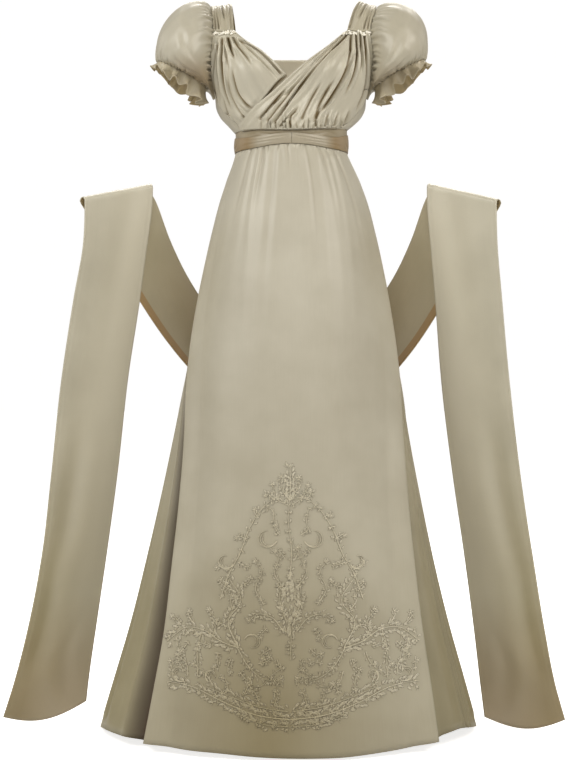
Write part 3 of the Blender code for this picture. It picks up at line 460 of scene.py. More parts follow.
def stitching_silk():
    """Floss silk in padded satin stitch: close parallel threads, painted paler than the ground along their
    crowns as painted highlight.
    """
    material, tree, shader = new_material(
        "floss_silk_satin_stitch", {"Roughness": 0.38, "Specular IOR Level": 0.8, "Sheen Weight": 0.15})
    cut = add_node(tree, "ShaderNodeUVMap", {"uv_map": "Cut"}, {}).outputs["UV"]
    # Threads of 0.3 mm, drawn 0.8 mm wide so that they show
    threads = grain(tree, cut, 0.0008, 0.010, 1.0)
    # Each leaf is painted pale along its crown, as painted highlight, and dark where its threads turn down
    # into the ground, as painted shade
    crown = add_node(tree, "ShaderNodeAttribute", {"attribute_name": "crown"}, {}).outputs["Fac"]
    shade = add_node(tree, "ShaderNodeMath", {"operation": "MULTIPLY_ADD", 1: 0.7}, {0: crown, 2: threads})
    shade = add_node(tree, "ShaderNodeMath", {"operation": "SUBTRACT", 1: 0.30}, {0: shade.outputs[0]})
    colour = mixed(tree, shade.outputs[0], "493e26", "d3cbb3")
    # Darker round the foot of the needlework: painted shade
    tree.links.new(round_shade(tree, colour, *NEEDLEWORK_SHADE), shader.inputs["Base Color"])
    relief = add_node(tree, "ShaderNodeBump", {"Strength": 0.35, "Distance": 0.0006}, {"Height": threads})
    tree.links.new(relief.outputs["Normal"], shader.inputs["Normal"])
    return material


def freshwater_pearl():
    """Small uneven pearls: cream nacre under a clear gloss."""
    material, tree, shader = new_material(
        "freshwater_pearl", {"Roughness": 0.28, "Coat Weight": 0.6, "Coat Roughness": 0.08})
    place = add_node(tree, "ShaderNodeTexCoord", {}, {}).outputs["Object"]
    nacre = add_node(tree, "ShaderNodeTexNoise", {"Scale": 1 / 0.003, "Detail": 2.0}, {"Vector": place})
    tree.links.new(mixed(tree, nacre.outputs["Fac"], "e2dac6", "fdfaf1"), shader.inputs["Base Color"])
    return material


def studio_paper():
    """Matt pale paper under the gown, with the faint tooth of heavy stock."""
    material, tree, shader = new_material(
        "studio_paper",
        {"Roughness": 0.9, "Specular IOR Level": 0.1, "Emission Color": (*linear("fdfcfa"), 1)})
    place = add_node(tree, "ShaderNodeTexCoord", {}, {}).outputs["Object"]
    tooth = add_node(tree, "ShaderNodeTexNoise", {"Scale": 1 / 0.5, "Detail": 3.0}, {"Vector": place})
    tree.links.new(mixed(tree, tooth.outputs["Fac"], "f2f1ef", "f6f5f3"), shader.inputs["Base Color"])
    # Lit from below like a studio sweep, for the camera alone, so that it blends with the backdrop
    sight = add_node(tree, "ShaderNodeLightPath", {}, {}).outputs["Is Camera Ray"]
    glow = add_node(tree, "ShaderNodeMath", {"operation": "MULTIPLY", 1: 0.82}, {0: sight})
    tree.links.new(glow.outputs[0], shader.inputs["Emission Strength"])
    return material


# Every satin darkens towards the hem by its foot colour: painted shade
GOWN_SATIN = satin("champagne_silk_satin", "aca592", "b8b2a0", 0.41)
STOLE_SATIN = satin("champagne_silk_satin_stole", "bcb3a2", "c8bfae", 0.40, foot="d6cdaf")
# The waistband is a darker copy of the satin: painted shade under the bodice's bloused edge
BAND_SATIN = satin("champagne_silk_satin_waistband", "8a7d62", "9c8f74", 0.40)
# The straps are darker down in their creases: painted shade
STRAP_SATIN = satin("champagne_silk_satin_straps", "9a927c", "aea690", 0.42, creases="94805a")
# The frills are a darker, browner copy of the satin: painted shade in their curls
FRILL_SATIN = satin("champagne_silk_satin_frills", "a79b81", "bfb59b", 0.40)
# Browner towards the wearer's sides, where the belt turns away from the light: painted shade
BELT_SATIN = satin("champagne_silk_satin_belt", "9b917b", "a79d88", 0.38, band=(0.062, 0.088, "8a7450"))
# The stole's inner face is brown behind the skirt and along its lower edge, which is turned over: both
# painted shade
STOLE_LINING = satin("champagne_silk_satin_turned_stole", "bfb598", "ccc2a6", 0.44,
                     band=(0.1399, 0.1411, "ba9a6c"), shade_patch=LINING_SHADE)
# The front panel is browner round the foot of its needlework and down in its creases, as painted shade; its
# pale foot colour keeps its corners pale
FRONT_SATIN = satin("champagne_silk_satin_front_panel", "aca592", "b8b2a0", 0.41, foot="f6f4ec",
                    shade_patch=NEEDLEWORK_SHADE, creases="a8977a")
# The falls are painted a little paler towards the skirt, as painted light where the skirt shades them, and
# browner at their feet, as painted shade
FALL_SATIN = satin("champagne_silk_satin_falls", "b5af9b", "c1bba7", 0.40,
                   band=(0.030, 0.158, "d7d1be"), foot="dad2b6", shade_patch=FALL_FEET_SHADE)
# Both sides are darker copies of the gown's satin, the left the more, and the right is brown in the deep fold
# behind the front panel's edge: all painted shade
SIDE_SATIN = {
    "right": satin("champagne_silk_satin_right_side", "a9a28c", "b6af9b", 0.42,
                   band=(0.068, 0.029, "3e2a0e")),
    "left": satin("champagne_silk_satin_left_side", "9f9780", "aca48e", 0.42),
}
# The crossed fronts are browner down in their folds: painted shade
BODICE_SATIN = satin("champagne_silk_satin_bodice", "b6af9b", "c2bcaa", 0.41, creases="a48f64")
# Golden where the puff turns under to its elastic, and the left sleeve a little darker: painted shade
SLEEVE_SATIN = {
    "right": satin("champagne_silk_satin_right_sleeve", "aca592", "b8b2a0", 0.41, shade_patch=PUFF_SHADE["right"]),
    "left": satin("champagne_silk_satin_left_sleeve", "a8a18d", "b4ad9a", 0.41, shade_patch=PUFF_SHADE["left"]),
}
# The facing inside the back neck is painted paler, as painted light where the fronts shade it; the wrong side
# of the satin is dull and browner
FACING = satin("silk_facing_painted_light", "e6ddc4", "f0e7d1", 0.45)
WRONG_SIDE = satin("satin_wrong_side", "998862", "a79671", 0.62)
FLOSS = stitching_silk()
PEARL = freshwater_pearl()
PAPER = studio_paper()


# ---------------------------------------------------------------- cloth

def smooth_line(points, count):
    """Points close together on a smooth curve through the given ones."""
    points = np.array(points, float)
    steps = np.concatenate(([0], np.cumsum(np.linalg.norm(np.diff(points, axis=0), axis=1))))
    slopes = np.gradient(points, steps, axis=0)
    places = np.linspace(0, steps[-1], count)
    row = np.clip(np.searchsorted(steps, places) - 1, 0, len(steps) - 2)
    step = (steps[row + 1] - steps[row])[:, None]
    t = ((places - steps[row])[:, None]) / step
    start, end = points[row], points[row + 1]
    rise = t * t * (3 - 2 * t)
    return start + (end - start) * rise + step * t * (1 - t) * ((1 - t) * slopes[row] - t * slopes[row + 1])


def ease(values, low, high):
    """The same as smooth, for an array."""
    share = np.clip((values - low) / (high - low), 0, 1)
    return share * share * (3 - 2 * share)


RIDGE = 0.45               # height of the ridges beside a crease, as a share of its depth
RIDGE_AT, RIDGE_WIDTH = 2.0, 1.1   # their distance and width, in widths of its trough


def fold_heights(places, folds):
    """Height of creases at places in metres: a trough along each line, between two low ridges.

    Each fold is its line, the trough's width, its depth and how far it fades at its start and end.
    """
    heights = np.zeros(len(places))
    for line, width, deep, fade_in, fade_out in folds:
        line = smooth_line(line, 24)
        starts, spans = line[:-1], np.diff(line, axis=0)
        lengths = np.linalg.norm(spans, axis=1)
        reach = 5 * width
        near = np.all((places > line.min(0) - reach) & (places < line.max(0) + reach), axis=1)
        if not near.any():
            continue
        to_point = places[near][:, None, :] - starts[None]
        share = np.clip((to_point * spans).sum(2) / lengths ** 2, 0, 1)
        away = np.linalg.norm(to_point - share[..., None] * spans[None], axis=2)
        nearest = away.argmin(1)
        picked = np.arange(len(nearest))
        gap = away[picked, nearest] / width
        before = np.concatenate(([0], np.cumsum(lengths)))[nearest]
        along = (before + share[picked, nearest] * lengths[nearest]) / lengths.sum()
        fade = ease(along, -0.001, fade_in) * (1 - ease(along, 1 - fade_out, 1.001))
        trough = -np.exp(-gap ** 2) + RIDGE * np.exp(-(((gap - RIDGE_AT) / RIDGE_WIDTH) ** 2))
        heights[near] += deep * fade * trough
    return heights


def add_object(name, data):
    thing = bpy.data.objects.new(name, data)
    bpy.context.collection.objects.link(thing)
    return thing


def finish(name, mesh, *materials):
    """Makes an object of a bmesh, smooth all over."""
    data = bpy.data.meshes.new(name)
    mesh.to_mesh(data)
    mesh.free()
    data.shade_smooth()
    for material in materials:
        data.materials.append(material)
    return add_object(name, data)


def face_away(mesh, middle):
    """Turns the faces so that they look away from a point inside the piece."""
    outward = sum((f.calc_center_median() - middle).dot(f.normal) * f.calc_area() for f in mesh.faces)
    if outward < 0:
        bmesh.ops.reverse_faces(mesh, faces=mesh.faces)


def laid_grid(surface, columns, rows, flat):
    """A grid laid on surface(u, v), with its place on the cut piece in its UV map, in metres."""
    mesh = bmesh.new()
    bmesh.ops.create_grid(mesh, x_segments=columns, y_segments=rows, size=0.5)
    cut = mesh.loops.layers.uv.new("Cut")
    place = mesh.verts.layers.float_vector.new("place")
    for vert in mesh.verts:
        vert[place] = Vector((vert.co.x + 0.5, vert.co.y + 0.5, 0))
    for face in mesh.faces:
        for loop in face.loops:
            loop[cut].uv = (loop.vert[place].x * flat[0], loop.vert[place].y * flat[1])
    for vert in mesh.verts:
        vert.co = surface(vert[place].x, vert[place].y)
    return mesh, place


def cloth(name, surface, columns, rows, middle, flat, folds=(), seen_from_front=False,
          closed=False, satin_side=GOWN_SATIN, wrong_side=WRONG_SIDE):
    """A wall of cloth whose outer face is surface(u, v), with u and v from 0 to 1.

    Folds are pressed in along the cloth's own metres, or in X and Z where it is seen from the front.
    """
    mesh, place = laid_grid(surface, columns, rows, flat)
    if closed:
        bmesh.ops.remove_doubles(mesh, verts=mesh.verts, dist=MERGE)
    mesh.normal_update()
    face_away(mesh, Vector(middle))
    # Depth of each crease, by which some satins are darkened there as painted shade
    depth = mesh.verts.layers.float.new("fold")
    if folds:
        if seen_from_front:
            places = np.array([vert.co.xz for vert in mesh.verts])
        else:
            places = np.array([vert[place].xy for vert in mesh.verts]) * flat
        mesh.normal_update()
        normals = [vert.normal.copy() for vert in mesh.verts]
        for vert, normal, height in zip(mesh.verts, normals, fold_heights(places, folds)):
            vert.co += normal * height
            vert[depth] = max(-height, 0)
    mesh.verts.layers.float_vector.remove(place)
    piece = finish(name, mesh, satin_side, wrong_side)
    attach(piece, "root")
    wall = piece.modifiers.new("Cloth", "SOLIDIFY")
    wall.thickness = WALL
    wall.offset = -1
    wall.material_offset = 1
    wall.material_offset_rim = 0
    return piece


# ---------------------------------------------------------------- skirt

def ring_point(angle, z, centre, half_width, front_depth, back_depth, out):
    """Point on a level oval; angle is 0 at centre front and positive to the wearer's left."""
    turn = radians(angle)
    depth = front_depth if cos(turn) > 0 else back_depth
    normal = Vector((sin(turn) / half_width, -cos(turn) / depth, 0)).normalized()
    return Vector((centre + half_width * sin(turn), -depth * cos(turn), z)) + normal * out


def wrap(angle):
    """The same angle between -180 and 180."""
    return (angle + 180) % 360 - 180


def skirt_point(angle, rise, out):
    """Point of the skirt; rise is 0 at the hem and 1 at the waist."""
    form = lerp(HEM_Z, WAIST_Z, rise)
    z = lerp(HEM_Z + HEM.at("lift", wrap(angle)), BELT.at("bottom", wrap(angle)) - SEAM, rise)
    sizes = [SKIRT.at(column, form) for column in ("centre", "half_width", "front_depth", "back_depth")]
    return ring_point(angle, z, *sizes, out)


def skirt_rise(v):
    """Rows lie closer together towards the waist."""
    return 1 - (1 - v) ** 1.35


def skirt_form(column, rise):
    """A size of the skirt's table at some share of its height."""
    return SKIRT.at(column, lerp(HEM_Z, WAIST_Z, rise))


def gather_relief(gathers, place, rise):
    """Short ridges below the waist seam, each fading out down its own reach."""
    drop = (1 - rise) * (WAIST_Z - HEM_Z)
    start = smooth(drop, 0, GATHER_START)
    return sum(
        depth * bump(place, centre, SKIRT_GATHER_WIDTH) * exp(-drop / reach) * start
        for centre, depth, reach in zip(*gathers.columns.values())
    )


def fold_relief(folds, place, rise):
    """Long folds from waist to hem, deepest at the hem."""
    return sum(
        lerp(hem, waist, rise ** 0.7) * bump(place, centre, width)
        for centre, waist, hem, width in zip(*folds.columns.values())
    )


def skirt_front_surface(u, v):
    """The front panel over the sides, proud of them at its edges: u from right to left."""
    place, rise = 2 * u - 1, skirt_rise(v)
    lift = LAYER * smooth(1 - rise, 0, 0.05) + skirt_form("proud", rise) * smooth(abs(place), *PROUD_FADE)
    relief = gather_relief(FRONT_GATHERS, place, rise) + fold_relief(FRONT_FOLDS, place, rise)
    relief *= smooth(1 - rise, 0, WAIST_FADE)
    right, left = skirt_form("edge_right", rise), skirt_form("edge_left", rise)
    angle = place * (left + right) / 2 + place ** 2 * (left - right) / 2
    return skirt_point(angle, rise, lift + relief)


def skirt_side_surface(side):
    """A side panel, tucked under the front one: u from front to back."""
    sign = SIGNS[side]

    def point(u, v):
        rise = skirt_rise(v)
        tuck = degrees(skirt_form("tuck", rise) / skirt_form("half_width", rise))
        front = skirt_form(f"edge_{side}", rise) - tuck
        back = SKIRT_SEAM_ANGLE - degrees(SEAM / 2 / skirt_form("half_width", rise))
        return skirt_point(sign * lerp(front, back, u), rise, 0)
    return point


def skirt_back_surface(u, v):
    """The gathered back between the side seams."""
    place, rise = 2 * u - 1, skirt_rise(v)
    half = 180 - SKIRT_SEAM_ANGLE - degrees(SEAM / 2 / skirt_form("half_width", rise))
    edge_fade = 1 - smooth(abs(place), 0.88, 1.0)
    relief = gather_relief(BACK_GATHERS, place, rise) + fold_relief(BACK_FOLDS, place, rise)
    relief *= smooth(1 - rise, 0, WAIST_FADE)
    return skirt_point(180 + place * half, rise, relief * edge_fade)


# ---------------------------------------------------------------- waistband and belt

def waist_point(angle, z, out):
    """Point on the oval of the waist, moved out by some distance."""
    sizes = [SKIRT.at(column, WAIST_Z) for column in ("centre", "half_width", "front_depth", "back_depth")]
    return ring_point(angle, z, *sizes, out)


def waistband_surface(u, v):
    """The band all round the waist, from the belt's foot to the bodice."""
    angle = 360 * u - 180
    z = lerp(BELT.at("bottom", angle), BELT.at("band_top", angle), v)
    return waist_point(angle, z, 0)


def belt_surface(sign):
    """Half of the belt, made from the waistband's points, moved out."""
    end = degrees(SEAM / 2 / SKIRT.at("front_depth", WAIST_Z))

    def point(u, v):
        angle = sign * min(max(180 * u, end), 180 - end)
        z = lerp(BELT.at("bottom", angle), BELT.at("top", angle), v)
        return waist_point(angle, z, WALL + SEAM + BELT_SWELL * sin(pi * v))
    return point


# ---------------------------------------------------------------- bodice

def waist_turn(x):
    """Angle from centre front of a point of the waist's front half."""
    across = (x - SKIRT.at("centre", WAIST_Z)) / SKIRT.at("half_width", WAIST_Z)
    return degrees(asin(min(max(across, -1), 1)))


def front_point(x, z, out):
    """Point on the front of the torso, with its cups, moved out by some distance."""
    near_waist = 1 - smooth(z, BAND_Z, -0.19)
    form = z - (BELT.at("band_top", waist_turn(x)) - BAND_Z) * near_waist
    half_width, depth, power = (TORSO.at(c, form) for c in ("half_width", "front_depth", "squareness"))
    across = x - SKIRT.at("centre", WAIST_Z) * near_waist
    side = min(abs(across) / half_width, TORSO_LIMIT)
    front = (1 - side ** power) ** (1 / power)
    cups = sum(bump(x, centre, CUP_SPREAD) for centre in (-CUP_X, CUP_X)) * bump(z, CUP_Z, CUP_SPREAD)
    sideways = side ** (power - 1) / half_width * (1 if across > 0 else -1)
    normal = Vector((sideways, -(front ** (power - 1)) / depth, 0)).normalized()
    return Vector((x, -depth * front - CUP_DEPTH * cups, z)) + normal * out


def armhole(side, turn, shrink=0.0, outward=0.0):
    """Point of the armhole seam; turn is 0 at the front and 90 at the shoulder."""
    height = sin(radians(turn))
    x = ARMHOLE.at(side, height) + outward
    y = ARM_Y - (ARM_HALF_DEPTH - shrink) * cos(radians(turn))
    return Vector((SIGNS[side] * x, y, ARM_Z + (ARM_HALF_HEIGHT - shrink) * height))


def side_seam(side, share):
    """Front side seam of the bodice, from the waist up to the armhole."""
    x = SIGNS[side] * SIDE_SEAM.at(side + "_x", share)
    z = SIDE_SEAM.at(side + "_z", share) + BENT_SEAM * (1 - share)
    point = front_point(x, z, 0)
    point.y = lerp(point.y, armhole(side, JOIN_TURN).y, share ** 3)
    return point


def neck_edge(side, share):
    """Neck edge of a crossed front as it is seen from the front."""
    return Vector((NECK_EDGE.at(side + "_x", share), 0, NECK_EDGE.at(side + "_z", share)))


def front_outer_edge(side, v):
    """Outer edge of a bodice front: side seam first, then the armhole up to the trim."""
    if v <= FRONT_SEAM_SHARE:
        return side_seam(side, v / FRONT_SEAM_SHARE)
    past = (v - FRONT_SEAM_SHARE) / (1 - FRONT_SEAM_SHARE)
    return armhole(side, lerp(JOIN_TURN, TRIM_TURN, past))


def trough_relief(folds, u, v):
    """Depth of a front's broad troughs; each fades over a sixth of its height at both ends."""
    return sum(
        depth * bump(u, place, width) * smooth(v, start - 0.08, start + 0.08)
        * (1 - smooth(v, end - 0.08, end + 0.08))
        for place, width, depth, start, end in folds
    )


def front_surface(side, folds, layer):
    """A crossed front: u from the armhole to the neck edge, v from the waist to the trim."""
    def outer(v):
        return front_outer_edge(side, v)

    def outer_flat(v):
        edge = outer(v)
        return Vector((edge.x, 0, edge.z))

    def foot(u):
        x = lerp(outer(0).x, neck_edge(side, 0).x, u)
        return Vector((x, 0, BELT.at("band_top", waist_turn(x)) + BENT_SEAM))

    def neck(v):
        point = neck_edge(side, v)
        point.z += (foot(1).z - neck_edge(side, 0).z) * (1 - v)
        return point

    def top(u):
        return lerp(outer_flat(1), neck(1), u)

    outline = patch(outer_flat, neck, foot, top)

    @lru_cache(None)
    def eased(v):
        """The outer edge without its corner, for the cloth away from it."""
        reach = min(CORNER_REACH, v, 1 - v)
        return sum((outer(v + reach * step / 4) for step in range(-4, 5)), Vector()) / 9

    def point(u, v):
        flat = outline(u, v)
        off_edge = smooth(u, 0.0, 0.15)
        corner = (eased(v) - outer(v)) * off_edge
        flat += Vector((corner.x, 0, corner.z)) * (1 - u)
        inner = smooth(u, 0.0, 0.12) * (1 - smooth(v, 0.80, 1.0))
        full = smooth(u, 0.0, 0.15) * (1 - smooth(v, 0.90, 1.0)) * (1 - smooth(u, 0.9, 1.05))
        gathers = GATHER_DEPTH * (0.5 + 0.5 * cos(2 * pi * WAIST_GATHERS * u)) * exp(-v / GATHER_REACH)
        gathers *= smooth(v, 0, 0.06)
        relief = SWELL * full * sin(pi * min(v + 0.12, 1)) ** 0.5 + gathers * smooth(u, 0, 0.1)
        relief -= trough_relief(folds, u, v) * smooth(u, 0, 0.08)
        relief += NECK_ROLL * smooth(u, 0.93, 0.975)
        if layer == 0:
            crossing = (flat.z - CROSSING_Z) * CROSSING_SLOPE
            relief *= 1 - smooth(flat.x - crossing, *CROSSING_FADE)
        moved = front_point(flat.x, flat.z, layer * inner + max(relief, 0))
        edge = lerp(outer(v), eased(v), off_edge)
        moved.y += (edge.y - front_point(edge.x, edge.z, 0).y) * (1 - u) ** 3
        return moved
    return point


def bodice_side_surface(side):
    """The strip under the arm: u from the front seam to the back seam, v up to the armhole."""
    def front(v):
        return side_seam(side, v)

    def back(v):
        return back_side_seam(side, v)

    def foot(u):
        turn = lerp(waist_angle(front(0)), waist_angle(back(0)), u)
        z = BELT.at("band_top", wrap(turn)) + BENT_SEAM
        return waist_point(turn, z, 0)

    def top(u):
        return armhole(side, lerp(JOIN_TURN, -180 - JOIN_TURN, u))

    between_seams = patch(front, back, foot, top)

    def point(u, v):
        place = between_seams(lerp(*SIDE_STRIP_SPAN, u), v)
        place.x += SIGNS[side] * UNDERARM_SWELL * sin(pi * u) * sin(pi * v)
        return place
    return point


def waist_angle(point):
    """Angle round the waist of a point on it."""
    angle = waist_turn(point.x)
    if point.y > 0:
        angle = (180 if point.x > 0 else -180) - angle
    return angle


def back_side_seam(side, share):
    """Back side seam of the bodice, from the waist up to the armhole."""
    turn = SIGNS[side] * BACK_SEAM_TURN
    foot = waist_point(turn, BELT.at("band_top", turn) + BENT_SEAM, 0)
    top = armhole(side, -180 - JOIN_TURN)
    point = lerp(foot, top, share)
    point.x += SIGNS[side] * BACK_SEAM_SWELL * sin(pi * share)
    return point


def bodice_back_surface(u, v):
    """The back: u from the right side seam to the left one, v from the waist to the neckline."""
    def edge(side, v):
        if v <= BACK_SEAM_SHARE:
            return back_side_seam(side, v / BACK_SEAM_SHARE)
        past = (v - BACK_SEAM_SHARE) / (1 - BACK_SEAM_SHARE)
        return armhole(side, lerp(-180 - JOIN_TURN, STRAP_BACK_TURN - 360, past))

    def foot(u):
        turn = lerp(waist_angle(edge("right", 0)) + 360, waist_angle(edge("left", 0)), u)
        return waist_point(turn, BELT.at("band_top", wrap(turn)) + BENT_SEAM, 0)

    def top(u):
        point = lerp(edge("right", 1), edge("left", 1), u)
        point.y += BACK_NECK_BOW * sin(pi * u)
        return point

    outline = patch(lambda v: edge("right", v), lambda v: edge("left", v), foot, top)
    point = outline(u, v)
    point.y += BACK_STAND + BACK_SWELL * sin(pi * u) * sin(pi * v)
    return point


# ---------------------------------------------------------------- straps and sleeves

def strap_surface(side, front_top, back_top):
    """Shoulder strap: u from the armhole to the neck, v over the shoulder to the back."""
    def outer(v):
        return armhole(side, lerp(TRIM_TURN, STRAP_BACK_TURN, v))

    def neck(v):
        x, y, z = (STRAP_NECK.at(side + axis, v) for axis in ("_x", "_y", "_z"))
        return Vector((SIGNS[side] * x, y, z))

    @lru_cache(maxsize=None)
    def foot(u):
        return front_top(u) + Vector((0, SEAM, BENT_SEAM))

    @lru_cache(maxsize=None)
    def end(u):
        return back_top(u) + Vector((0, -SEAM, BENT_SEAM))

    def outer_edge(v):
        return outer(v) + lerp(foot(0) - outer(0), end(0) - outer(1), v)

    def neck_line(v):
        return neck(v) + lerp(foot(1) - neck(0), end(1) - neck(1), v)

    flat = patch(outer_edge, neck_line, foot, end)
    shoulder = shoulder_centre(side)

    def point(u, v):
        base = flat(u, v)
        ruching = STRAP_RUCHING * (0.5 - 0.5 * cos(2 * pi * STRAP_PLEATS * u)) * sin(pi * v) ** 0.4
        away = base - shoulder
        away.x = 0
        return base + away.normalized() * ruching
    return point


def shoulder_centre(side):
    """Middle of the arch that a strap makes over the shoulder."""
    return Vector((SIGNS[side] * STRAP_X, ARM_Y, ARM_Z))


def cuff_frame(side):
    """Centre, outward direction, forward direction and opening direction of a cuff's ring."""
    sign = SIGNS[side]
    outer = Vector((sign * CUFF_OUTER[side][0], CUFF_Y, CUFF_OUTER[side][1]))
    inner = Vector((sign * CUFF_INNER[side][0], CUFF_Y, CUFF_INNER[side][1]))
    outward = (outer - inner) / 2
    opening = Vector((sign * abs(outward.z), 0, -abs(outward.x))).normalized()
    return (outer + inner) / 2, outward, Vector((0, -CUFF_HALF_DEPTH, 0)), opening


def cuff_point(side, turn, out=0.0, along=0.0):
    """Point of the cuff's ring, moved out from it and along its opening."""
    centre, outward, forward, opening = cuff_frame(side)
    radial = outward * sin(radians(turn)) + forward * cos(radians(turn))
    return centre + radial * (1 + out / radial.length) + opening * along


def armhole_centre(side):
    return Vector((SIGNS[side] * ARM_X, ARM_Y, ARM_Z))


def sleeve_surface(side):
    """Puff sleeve: u round the arm, v from inside the armhole to the elastic."""
    sign = SIGNS[side]
    centre, _, _, opening = cuff_frame(side)

    def point(u, v):
        turn = 360 * u
        top = (0.5 + 0.5 * sin(radians(turn))) ** 1.2
        if v < SLEEVE_ENTRY:
            outward = lerp(*SLEEVE_INSIDE, v / SLEEVE_ENTRY)
            return armhole(side, turn, shrink=ARMHOLE_CLEAR, outward=outward)
        start = armhole(side, turn, shrink=ARMHOLE_CLEAR, outward=SLEEVE_INSIDE[1])
        t = (v - SLEEVE_ENTRY) / (1 - SLEEVE_ENTRY)
        end = cuff_point(side, turn)
        ring = Vector((0, -cos(radians(turn)), sin(radians(turn))))
        radial = (end - centre).normalized()
        out, up, cap = (lerp(foot, head, top) for foot, head in zip(SLEEVE_FOOT, SLEEVE_HEAD[side]))
        leave = Vector((sign * out, -SLEEVE_FRONT * cos(radians(turn)), 0)) + ring * up
        front = cos(radians(turn)) ** 2
        arrive = -opening * lerp(*CUFF_HANG, top) * (1 - BLOUSE * front) + radial * (cap + BLOUSE_OUT * front)
        curve = (
            start * (1 - t) ** 3 + (start + leave) * 3 * t * (1 - t) ** 2
            + (end + arrive) * 3 * t * t * (1 - t) + end * t ** 3
        )
        wave = cos(radians(turn * SLEEVE_GATHERS))
        at_shoulder = top * exp(-t / SLEEVE_GATHER_REACH) * smooth(t, 0, 0.1)
        at_cuff = exp(-(1 - t) / SLEEVE_GATHER_REACH)
        strength = SLEEVE_GATHER_DEPTH * (at_shoulder + at_cuff)
        away = curve - lerp(armhole_centre(side), centre, t)
        return curve + away.normalized() * wave * strength
    return point


def frill_surface(side):
    """Frill below the elastic, waved all round."""
    def point(u, v):
        turn = 360 * u
        # The waves bunch up in three places, stand out unevenly and are flatter over the arm
        wave = cos(radians(turn * FRILL_WAVES + 50 * sin(radians(3 * turn))))
        uneven = 1 + 0.45 * sin(radians(5 * turn + 20)) + 0.25 * sin(radians(11 * turn))
        curl = FRILL_CURL * (0.5 + 0.5 * sin(radians(4 * turn + 60))) * v * v
        level = 1 - 0.6 * smooth(sin(radians(turn)), 0.6, 1.0)
        out = FRILL_FLARE * v + (FRILL_WAVE * wave * uneven * v + curl) * level
        depth = lerp(FRILL_INNER, FRILL_OUTER, 0.5 + 0.5 * sin(radians(turn)))
        depth *= 1 - FRILL_LIFT * (0.5 + 0.5 * wave) * v
        along = SEAM + (depth + FRILL_UNEVEN * sin(radians(turn * FRILL_DIPS))) * v
        return cuff_point(side, turn, out, along)
    return point


# ---------------------------------------------------------------- stole

def fall_top(side, u):
    """Line where the stole turns over the forearm, from its outer to its inner edge."""
    z = lerp(*FALL_TOP[side], u)
    return fall_line(side, u, z)


def fall_line(side, u, z):
    """Point of a hanging end at a height; it stays as wide as the stole by turning in depth."""
    outer, inner = (FALL.at(f"{side}_{edge}", z) for edge in ("outer", "inner"))
    half_depth = sqrt(max(STOLE_WIDTH ** 2 - (outer - inner) ** 2, 0.0)) / 2
    bow = FALL_BOW * 4 * u * (1 - u) * smooth(-z, 0.36, 0.5)
    return Vector((SIGNS[side] * lerp(outer, inner, u), lerp(-half_depth, half_depth, u) - bow, z))


def fall_front(side):
    """Level direction that the top of a fall faces."""
    along = fall_top(side, 1) - fall_top(side, 0)
    return Vector((abs(along.y) * -SIGNS[side], -abs(along.x), 0)).normalized()


def crest_point(side, u, turn):
    """Round turn over the forearm: 0 at the front, 90 at the top, 180 at the back."""
    centre = fall_top(side, u) - Vector((0, 0, CREST))
    return centre + fall_front(side) * CREST * cos(radians(turn)) + Vector((0, 0, CREST * sin(radians(turn))))


def behind_point(side, u, share):
    """Stretch behind the back; u from its upper to its lower edge, share from forearm to centre."""
    upper, lower, first_upper, first_lower = (
        Vector([BEHIND.at(edge + axis, at) for axis in "xyz"])
        for at in (share, 0) for edge in ("upper_", "lower_")
    )
    point = lerp(upper, lower, u)
    point.z -= BEHIND_DROP[side] * u * sin(pi * share)
    point.x += BEHIND_SPREAD[side] * (1 - u) * sin(pi * share)
    point.y += BEHIND.at("bow", share) * 4 * u * (1 - u)
    first = lerp(first_upper, first_lower, u)
    point.x *= SIGNS[side]
    first.x *= SIGNS[side]
    return point + (crest_point(side, 1 - u, 180) - first) * (1 - smooth(share, 0, 0.4))


def fall_surface(side):
    """Hanging end of the stole: u from its outer to its inner edge, v up and over the forearm."""
    def point(u, v):
        if v > FALL_TURN:
            back = (v - FALL_TURN) / (1 - FALL_TURN)
            return lerp(crest_point(side, u, 180), behind_point(side, 1 - u, STOLE_SPLIT), back)
        if v > FALL_HANG:
            return crest_point(side, u, 180 * (v - FALL_HANG) / (FALL_TURN - FALL_HANG))
        share = v / FALL_HANG
        foot_z = lerp(*FALL_FOOT[side], u) - FOOT_SAG * sin(pi * u)
        top = crest_point(side, u, 0)
        hang = fall_line(side, u, lerp(foot_z, top.z, share))
        level = fall_line(side, u, top.z)
        return hang + (top - level) * smooth(share, 0.6, 1.0)
    return point


def behind_surface(u, v):
    """Stretch behind the back: u from its upper to its lower edge, v from right to left."""
    side = "right" if v < 0.5 else "left"
    share = lerp(STOLE_SPLIT + STOLE_SPLIT_GAP, 1, 1 - abs(2 * v - 1))
    return behind_point(side, u, share)


# ---------------------------------------------------------------- creases

def creases(*rows):
    """Rows in millimetres of a line, its trough's width and depth, and then the fades at its two ends."""
    return tuple((*metres(row[:3]), *row[3:]) for row in rows)


